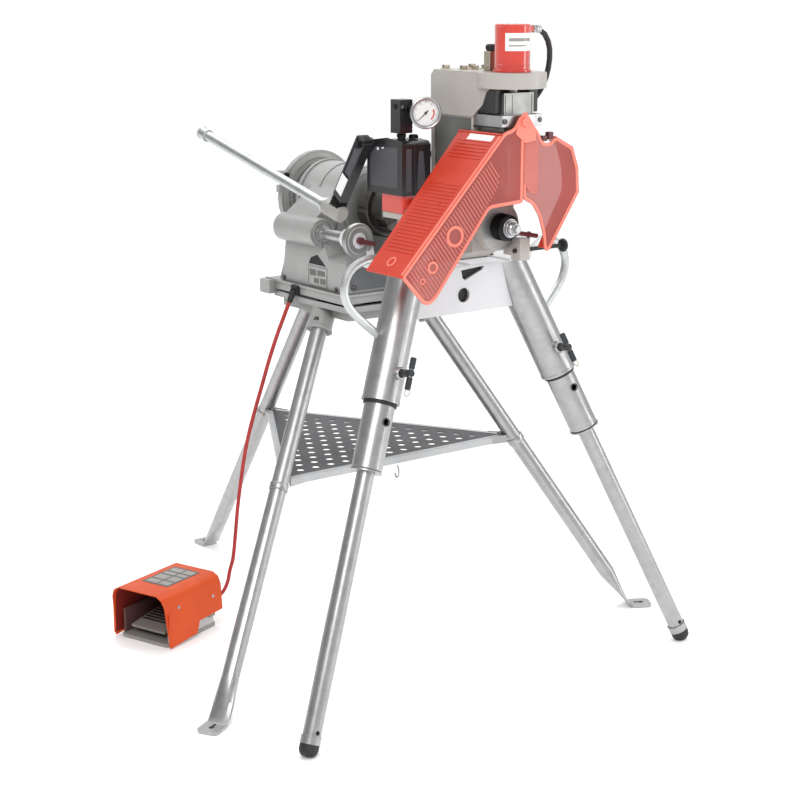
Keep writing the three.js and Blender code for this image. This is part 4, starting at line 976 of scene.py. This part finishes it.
def lever_details():
    length = (LEVER_END - LEVER_PIVOT).length
    edges = join(
        lever_box(-14, length - 42, 12, 17.6, -236, -210.4),
        lever_box(-14, length - 42, -17.6, -12, -236, -210.4), lever_box(-20, -13, -10, 10, -236, -211),
    )
    web = lever_box(0, length - 112, -11, 11, -233.8, -232.8)
    backing = lever_box(length - 110, length - 42, -14, 14, -236.2, -232.8)
    label = lever_box(length - 108, length - 58, -13, 13, -237.2, -236.0)
    grips = [lever_box(length - 38 + 5 * i, length - 35.4 + 5 * i, -16, 16, -236, -208.5) for i in range(6)]
    piece("lever_flanges", edges, "black_paint", "pump_lever", 0.8)
    piece("lever_web", web, "violet_grey", "pump_lever", 0.3)
    piece("lever_label_base", backing, "black_paint", "pump_lever", 0.5)
    piece("lever_label", label, "label_white", "pump_lever", 0.2)
    piece("lever_knurl", join(*grips), "black_metal", "pump_lever", 0.6)
    piece("lever_pin", button(8, 3, 6, 5, (-240, -437, 1316), (-1, 0, 0), 28), "black_metal")
    axis = (HANDLE_TIP - HANDLE_START).normalized()
    yoke = [(0, -1.2), (15, -1.2), (19.2, 1.6), (20.4, 5), (20.4, 60), (18.4, 68), (12.6, 74), (0, 74)]
    piece("handle_yoke", turned(yoke, HANDLE_START - axis * 28, axis, 40), "tan_cast", "pump_lever", 0.8)
    rings = join(
        disc_ring(10, 16.4, HANDLE_TIP + axis * 3.0, axis, 1.8),
        disc_ring(12.4, 16.2, HANDLE_TIP - axis * 26, axis, 3.0),
        disc_ring(12.4, 14.2, HANDLE_START + axis * 50, axis, 6.0),
    )
    piece("handle_rings", rings, "handle_steel", "pump_lever")


GAUGE_FACING = Vector((-0.5, -0.866, 0)).normalized()
GAUGE_CENTRE = Vector((-135, -557, 1392))


def dial_line(degrees, inner, outer, lift, width):
    """A thin line along a spoke of the dial. Zero degrees is to one side, and 90 is up."""
    angle = math.radians(degrees)
    sideways = Vector(UP).cross(GAUGE_FACING).normalized()
    spoke = sideways * math.cos(angle) + Vector(UP) * math.sin(angle)
    base = GAUGE_CENTRE + GAUGE_FACING * lift
    return rod(width, base + spoke * inner, base + spoke * outer, 6, 0.05)


def dial_turned(profile, lift):
    return turned(profile, GAUGE_CENTRE + GAUGE_FACING * lift, GAUGE_FACING, 64)


def gauge_details():
    dial = dial_turned([(0, 0), (30.2, 0), (30.2, 0.15), (0, 0.15)], 10.05)
    piece("gauge_dial", dial, "dial_face")
    marks = []
    for i in range(41):
        inner, width = (24.5, 0.25) if i % 5 else (21.5, 0.5)
        marks.append(dial_line(-45 + 270 * i / 40, inner, 27.5, 10.22, width))
    piece("gauge_marks", join(*marks), "ink_and_shade_black")
    band = [dial_line(-48 + 1.6 * i, 17.0, 20.5, 10.25, 0.3) for i in range(46)]
    piece("gauge_red_band", join(*band), "red_paint")
    bezel = join(
        dial_turned([(30.4, 0), (36.2, 0), (36.6, 3), (36.0, 6.4), (33.4, 7.6), (30.6, 6.2)], 9.6),
        disc_ring(34.6, 35.9, GAUGE_CENTRE + GAUGE_FACING * 4, GAUGE_FACING, 2.0),
    )
    piece("gauge_bezel", bezel, "bright_steel")
    piece("gauge_gasket", dial_turned([(29.4, 0), (30.8, 0), (30.8, 3.6), (29.4, 3.6)], 10.2), "black_paint")
    glass_profile = [(0, 0), (30.6, 0), (30.6, 1.0), (20, 1.6), (0, 2.0)]
    piece("gauge_glass", dial_turned(glass_profile, 13.6), "glass")


# -------- power drive
BOSS_X = 170
BOSS_HEIGHT = 1077


def flank_block(side, inner, outer, low, high):
    """A box on a flank of the drive, between two distances out and two (y, z) corners."""
    return block((side * inner, *low), (side * outer, *high))


def flank_frame(side, inner, outer, low, high, width):
    """A rectangular frame of bars with mitred corners on a flank of the drive."""
    outside = rectangle(low, high)
    inside = rectangle((low[0] + width, low[1] + width), (high[0] - width, high[1] - width))
    bars = []
    for i in range(4):
        n = (i + 1) % 4
        corners = [outside[i], outside[n], inside[n], inside[i]]
        bars.append(slab(corners, side * inner, side * outer, "x"))
    return join(*bars)


def flank_details(side, name):
    frame_bars = flank_frame(side, 167.6, 170.0, (-205, 941), (-121, 989), 3.2)
    piece(f"plate_frame_{name}", frame_bars, "drive_grey", bevel=0.5)
    plate = flank_block(side, 167.7, 168.5, (-202, 944), (-124, 986))
    piece(f"rating_plate_{name}", plate, "plate_metal", bevel=0.15)
    fields = (((-198, 948), (-176, 962)), ((-168, 948), (-148, 960)), ((-196, 968), (-164, 981)),
              ((-156, 966), (-130, 981)))
    patches = [flank_block(side, 168.2, 169.3, low, high) for low, high in fields]
    piece(f"plate_patches_{name}", join(*patches), "shade_and_print_grey", bevel=0.1)
    # A black sheet in the recess under the boss is painted shade.
    recess = [(-201, 995), (-125, 995), (-135, 1010), (-164, 1019.5)]
    piece(f"recess_shade_{name}", slab(recess, side * 164.0, side * 167.2, "x"), "ink_and_shade_black")
    boss = side * BOSS_X
    rings = join(
        disc_ring(14.6, 22, (boss, -191, BOSS_HEIGHT), FRONT, 5),
        disc_ring(30, 36.6, (boss, -188, BOSS_HEIGHT), FRONT, 3.4),
    )
    piece(f"boss_rings_{name}", rings, "machined_grey")
    lip = [(39.6, 0), (41.2, 0), (42, 2), (42, 11), (40.6, 13), (34.4, 13), (33.4, 11.4), (39.6, 11.4)]
    cup = join(
        turned(lip, (boss, -334, BOSS_HEIGHT), FRONT, 56),
        disc_ring(20, 32, (boss, -346, BOSS_HEIGHT), FRONT, 1.6),
        disc_ring(25.6, 41.5, (boss, -333.6, BOSS_HEIGHT), (0, 1, 0), 1.6),
    )
    piece(f"socket_rim_{name}", cup, "machined_grey")


def drive_details():
    rims = spindle_rings((98, 101.4, 70.6, -1, 3.4), (86, 89.4, 67.1, -1, 3.4), (112, 118.4, 74.4, -1, 2.4))
    piece("wheel_rings", rims, "drive_grey", "centering_wheel")
    lug = join(block((-122, 66, 1182), (-98, 92, 1204)), rod(9, (-110, 60, 1194), (-110, 94, 1194), 24))
    piece("wheel_lug", lug, "drive_grey", "centering_wheel", 2.0)
    bolt = join(hexagon((-112, 60, 1195), FRONT, 14, 9), hexagon((-124, 80, 1190), (-1, 0, 0.2), 12, 7))
    piece("wheel_bolts", bolt, "black_metal", "centering_wheel")
    bands = spindle_rings((94, 100.0, 20, 1, 11), (95, 98.4, -60, 1, 6), (95, 99.0, -163, 1, 9),
                          (82, 94, -165.4, -1, 3))
    piece("barrel_bands", bands, "drive_grey", bevel=1.0)
    # A thin dark panel over the case's front face is painted shade on the side turned from the light.
    face = slab(rounded(rectangle((-156, 944), (156, 1012)), 8), -287.2, -285.4, "y")
    piece("case_front_shade_panel", face, "case_front_shade", bevel=0.5)
    bolts = [hexagon((x, -287, z), FRONT, 13, 5) for x in (-146, 146) for z in (952, 1004)]
    bolts += [hexagon((side * 168, y, 944), (side, 0, 0), 11, 4) for y in (-246, -14) for side, _ in SIDES]
    piece("case_bolts", join(*bolts), "dark_steel")
    for side, name in SIDES:
        flank_details(side, name)
    # A black block in the gap under the base is painted shade.
    piece("base_slit_shade", block((-177.4, -176, 905.6), (-170, -40, 910.4)), "ink_and_shade_black")
    lips = join(
        block((-180, -294, 929), (180, -288, 936)), block((-180, -288, 930), (-175.4, 60, 936.4)),
        block((175.4, -288, 930), (180, 60, 936.4)),
    )
    piece("base_lips", lips, "drive_grey", bevel=1.5)


# -------- groover legs
LEG_FOOT = (595, -729)
LEG_LEAN = (0.4344, 0.2125)
FOOT_SCREW, COLLAR_END, LEG_HOLE, SLEEVE_END, PIN_HEIGHT = 52, 591, 696, 739, 800


def leg_at(side, height):
    """The middle of a groover leg at a height."""
    return Vector((side * (LEG_FOOT[0] - LEG_LEAN[0] * height), LEG_FOOT[1] + LEG_LEAN[1] * height, height))


def leg_details(side, name):
    body = f"leg_{name}"
    axis = (leg_at(side, 100) - leg_at(side, 0)).normalized()
    front = Vector(FRONT)
    facing = (front - axis * front.dot(axis)).normalized()
    weld = disc_ring(35.8, 38.4, leg_at(side, COLLAR_END) - axis * 2, axis, 4)
    cap = disc_ring(20.6, 36.2, leg_at(side, COLLAR_END) - axis * 1.6, axis, 2.0)
    piece(f"leg_weld_{name}", join(weld, cap), "galvanised", body, 0.8)
    mouth = disc_ring(37.4, 45.4, leg_at(side, SLEEVE_END) - axis * 1.2, axis, 7)
    piece(f"sleeve_lip_{name}", mouth, "galvanised", bevel=0.8)
    # A dark ring round the collar below the sleeve's mouth is painted shadow.
    shadow_ring = disc_ring(36.9, 39.6, leg_at(side, SLEEVE_END) - axis * 9, axis, 8)
    piece(f"sleeve_shadow_ring_{name}", shadow_ring, "rubber")
    rim = disc_ring(8.2, 10.4, leg_at(side, LEG_HOLE) + facing * 34.9, facing, 2.2, 32)
    piece(f"leg_hole_rim_{name}", rim, "dark_steel", body)
    ferrule = disc_ring(22.7, 23.6, leg_at(side, 28), axis, 19)
    piece(f"foot_ferrule_{name}", ferrule, "galvanised", body, 0.3)
    screw = button(5, 1, 3, 2.4, leg_at(side, FOOT_SCREW) + facing * 20.2, facing)
    piece(f"foot_screw_{name}", screw, "black_metal", body)
    pin_details(name, leg_at(side, PIN_HEIGHT), axis, facing)


def pin_details(name, pin, axis, facing):
    """The locking pin's bush on the sleeve, its tee grip and its pull ring."""
    body = f"lock_pin_{name}"
    collar = [(10.4, 0), (14, 0), (15, 2), (15, 10), (12, 14), (10.4, 14)]
    bush = turned(collar, pin + facing * 43, facing, 32)
    piece(f"pin_bush_{name}", bush, "galvanised", bevel=0.5)
    grip = pin + facing * 86
    tee = join(
        rod(7.2, grip + axis * 10, grip + axis * 37, 24, 1.4),
        rod(7.2, grip - axis * 39, grip - axis * 10, 24, 1.4),
        rod(8.4, pin + facing * 62, pin + facing * 92, 24, 1.4),
    )
    piece(f"pin_grip_{name}", tee, "pin_black", body)
    loop = circle(pin + facing * 88 - axis * 45, facing, -axis, 9, 24)
    piece(f"pin_ring_{name}", swept(loop + loop[:1], 1.3, 10), "zinc", body)


# -------- stand and tray
STAND_ANGLES = (-150.0, -30.0, 90.0)
STAND_MIDDLE_Y = -77
STAND_REACH = 765
STAND_LEAN = 0.676
TRAY_HEIGHT = 500
HOLE_PITCH = (46, 40)
HOLE_MARGIN = 30


def stand_leg_at(angle, height, outward=0.0):
    """The middle of a stand leg at a height, or a point further out."""
    reach = STAND_REACH - STAND_LEAN * height + outward
    turn = math.radians(angle)
    return Vector((reach * math.cos(turn), STAND_MIDDLE_Y + reach * math.sin(turn), height))


def outward_at(angle):
    """Level unit vectors away from the stand's middle and across that."""
    outward = Vector((math.cos(math.radians(angle)), math.sin(math.radians(angle)), 0))
    return outward, Vector((-outward.y, outward.x, 0))


def hole_grid(corners):
    """Centres of the tray's round holes, inside the triangle by a margin."""
    holes = []
    for row in range(-14, 15):
        for column in range(-14, 15):
            x = (column + (0.5 if row % 2 else 0.0)) * HOLE_PITCH[0]
            y = STAND_MIDDLE_Y + row * HOLE_PITCH[1]
            depths = []
            for a, b in zip(corners, corners[1:] + corners[:1]):
                edge = Vector((b[0] - a[0], b[1] - a[1])).normalized()
                depths.append(edge.x * (y - a[1]) - edge.y * (x - a[0]))
            if min(depths) >= HOLE_MARGIN:
                holes.append((x, y))
    return holes


def perforated(outline, holes, radius, low, high, sides=14):
    """A flat plate across z with round holes."""
    loops = [[Vector((x, y, 0)) for x, y in outline]]
    for x, y in holes:
        loops.append(circle(Vector((x, y, 0)), Vector((1, 0, 0)), Vector((0, -1, 0)), radius, sides))
    points = [point for loop in loops for point in loop]
    bm = bmesh.new()
    lower = [bm.verts.new(place(p.x, p.y, low)) for p in points]
    upper = [bm.verts.new(place(p.x, p.y, high)) for p in points]
    for triangle in tessellate_polygon(loops):
        bm.faces.new([upper[k] for k in triangle])
        bm.faces.new([lower[k] for k in reversed(triangle)])
    first = 0
    for loop in loops:
        count = len(loop)
        for k in range(count):
            a, b = first + k, first + (k + 1) % count
            bm.faces.new((lower[a], lower[b], upper[b], upper[a]))
        first += count
    return bm


def tray_details():
    corners = [stand_leg_at(angle, TRAY_HEIGHT, -4) for angle in STAND_ANGLES]
    outline = [(corner.x, corner.y) for corner in corners]
    plate = perforated(outline, hole_grid(outline), 10.5, TRAY_HEIGHT - 2.5, TRAY_HEIGHT)
    piece("tray_plate", plate, "tray_grey", replaces=("stand_tray",))
    lips = []
    for i in range(3):
        a, b = Vector(outline[i]), Vector(outline[(i + 1) % 3])
        along = (b - a).normalized()
        out = Vector((along.y, -along.x))
        a, b = a + along * 24, b - along * 24
        for depth, low, high in ((2, 483, 501), (14, 499.6, 501.2)):
            lips.append(slab([a - out * depth, b - out * depth, b + out, a + out], low, high, "z"))
    piece("tray_lips", join(*lips), "tray_edge", bevel=0.6)
    tray_clips()
    hook = [(0, 478), (-6, 470), (-7, 456), (-2, 447), (6, 448), (8, 456)]
    hook = [Vector((-14, outline[0][1] + y, z)) for y, z in hook]
    piece("tray_hook", swept(smooth_path(hook, 3), 2.4, 12), "galvanised")


def tray_clips():
    """A collar on each leg with two straps and a bolt at the tray's corner."""
    clips = []
    collar = [(21.3, 6), (23, 6), (23.6, 7), (23.6, 23), (23, 24), (21.3, 24)]
    for angle in STAND_ANGLES:
        low, base = stand_leg_at(angle, 474), stand_leg_at(angle, TRAY_HEIGHT)
        clips.append(turned(collar, low, (base - low).normalized(), 40))
        outward, across = outward_at(angle)
        for sign in (-1, 1):
            one = base - outward * 18 - across * (sign * 15)
            two = base - outward * 62 - across * (sign * 30)
            thick = across * (sign * -4)
            clips.append(slab([p.xy for p in (one, two, two + thick, one + thick)], 482, 503, "z"))
        clips.append(hexagon(base - outward * 34 + Vector((0, 0, 3)), UP, 14, 6))
    piece("tray_clips", join(*clips), "galvanised", bevel=0.8)


def stand_details():
    welds, bolts, slots = [], [], []
    for angle in STAND_ANGLES:
        low = stand_leg_at(angle, 832)
        axis = (stand_leg_at(angle, 900) - low).normalized()
        outward, across = outward_at(angle)
        welds.append(disc_ring(21.4, 33.6, low - axis * 1.2, axis, 6))
        bolts.append(hexagon(stand_leg_at(angle, 862) + outward * 30, outward, 16, 8))
        foot = stand_leg_at(angle, 0, 32)
        corners = [foot - outward * run + across * aside for run, aside in rectangle((-4, -3.2), (20, 3.2))]
        slots.append(slab([corner.xy for corner in corners], 6.9, 7.5, "z"))
        slots.append(disc_ring(0.4, 6.2, (foot.x, foot.y, 6.9), UP, 0.7, 28))
    piece("head_socket_rings", join(*welds), "drive_grey", bevel=1.2)
    piece("head_clamp_bolts", join(*bolts), "dark_steel")
    piece("foot_keyholes", join(*slots), "ink_and_shade_black")


# -------- deck, panel and foot switch
def deck_details():
    backing = [
        block((left, -531.8, low), (76, -530.4, high))
        for left, low, high in ((-70, 924, 984), (-30, 984, 1022))
    ]
    piece("panel_backing", join(*backing), "ink_and_shade_black")
    rim = disc_ring(17.4, 20.6, (-4, -539.6, 955), FRONT, 1.2)
    piece("panel_hole_rim", rim, "plate_white")
    welds = [block((side * 60, -634, 1042), (side * 64, -492, 1047)) for side, _ in SIDES]
    welds.append(block((-190, -551.2, 1024.4), (190, -549.6, 1027)))
    piece("deck_welds", join(*welds), "plate_white", bevel=1.2)
    bolts = [hexagon((x, y, 1042), UP, 17, 8) for x in (-86, 86) for y in (-528, -470)]
    piece("deck_bolts", join(*bolts), "dark_steel")


SWITCH_AT = Vector((-553, 100, 0))
SWITCH_TURN = math.radians(20)
TREAD_LEAN = math.radians(-8.2)


def switch_piece(name, bm, look, bevel=0.0, body="frame"):
    """Makes a piece after turning its shape from the foot switch's own frame to its place on the floor."""
    shift = place(0, 0, 0)
    bmesh.ops.translate(bm, verts=bm.verts, vec=-shift)
    bmesh.ops.rotate(bm, verts=bm.verts, cent=(0, 0, 0), matrix=Matrix.Rotation(SWITCH_TURN, 3, "Z"))
    bmesh.ops.translate(bm, verts=bm.verts, vec=shift + SWITCH_AT * MM)
    piece(name, bm, look, body, bevel)


def switch_details():
    plate = slab(rounded(rectangle((52, -44), (186, 44)), 5), 145.8, 146.8, "z")
    switch_piece("switch_label", plate, "label_grey", 0.2)
    fields = ((60, 84), (92, 122), (130, 146), (154, 178))
    patches = [
        block((back, low, 146.7), (front, high, 147.1))
        for back, front in fields for low, high in ((-38, -6), (0, 38))
    ]
    switch_piece("switch_label_fields", join(*patches), "label_dark", 0.1)
    hem = [block((-4, side * 92.4, 10), (1, side * 97.2, 96)) for side, _ in SIDES]
    switch_piece("switch_hood_hem", join(*hem), "red_cover", 1.0)
    # The inner walls are dark red-brown as painted shade inside the hood.
    inside = join(block((14, 72, 8), (196, 78, 76)), block((176, -72, 8), (184, 72, 116)))
    switch_piece("switch_inner_walls", inside, "switch_inside_shade", 2.0)
    switch_piece("switch_side_wall", block((14, -78, 8), (196, -72, 76)), "tray_edge", 2.0)
    # A thin dark red shell inside the hood is painted shade.
    shade_liners = []
    for low, high, foot in ((-3, 104, 12), (104, 190, 46)):
        lean = foot * 0.052
        outside = [(92.4 - lean, foot), (86.6, 114), (78.6, 131), (63, 141.4), (-63, 141.4)]
        inside = [(-63, 140.8), (62.6, 140.8), (78, 130.4), (86, 113.8), (91.8 - lean, foot)]
        shade_liners.append(slab(outside + inside, low, high, "x"))
    switch_piece("switch_hood_shade_liner", join(*shade_liners), "hood_inside_shade", 0.2)
    treads = join(*[block((30 + 13 * i, -50, 53.2), (36 + 13 * i, 50, 54.8)) for i in range(2, 9)])
    lean = Matrix.Rotation(TREAD_LEAN, 3, "Y")
    bmesh.ops.rotate(treads, verts=treads.verts, cent=place(150, 0, 53.6), matrix=lean)
    switch_piece("pedal_treads", treads, "rubber", 0.4, "foot_pedal")
    screws = [
        button(5, 1.4, 3.4, 2.6, (x, side * y, z), (0, side, 0), 24)
        for x, y, z in ((180, 89.6, 92), (40, 90.5, 104)) for side in (1, -1)
    ]
    switch_piece("switch_screws", join(*screws), "bright_steel")


dress_nodes()
left_guard()
right_guard()
cylinder_details()
column_details()
slide_details()
roll_details()
knob_grips()
pump_details()
lever_details()
gauge_details()
drive_details()
for side, name in SIDES:
    leg_details(side, name)
tray_details()
stand_details()
deck_details()
switch_details()
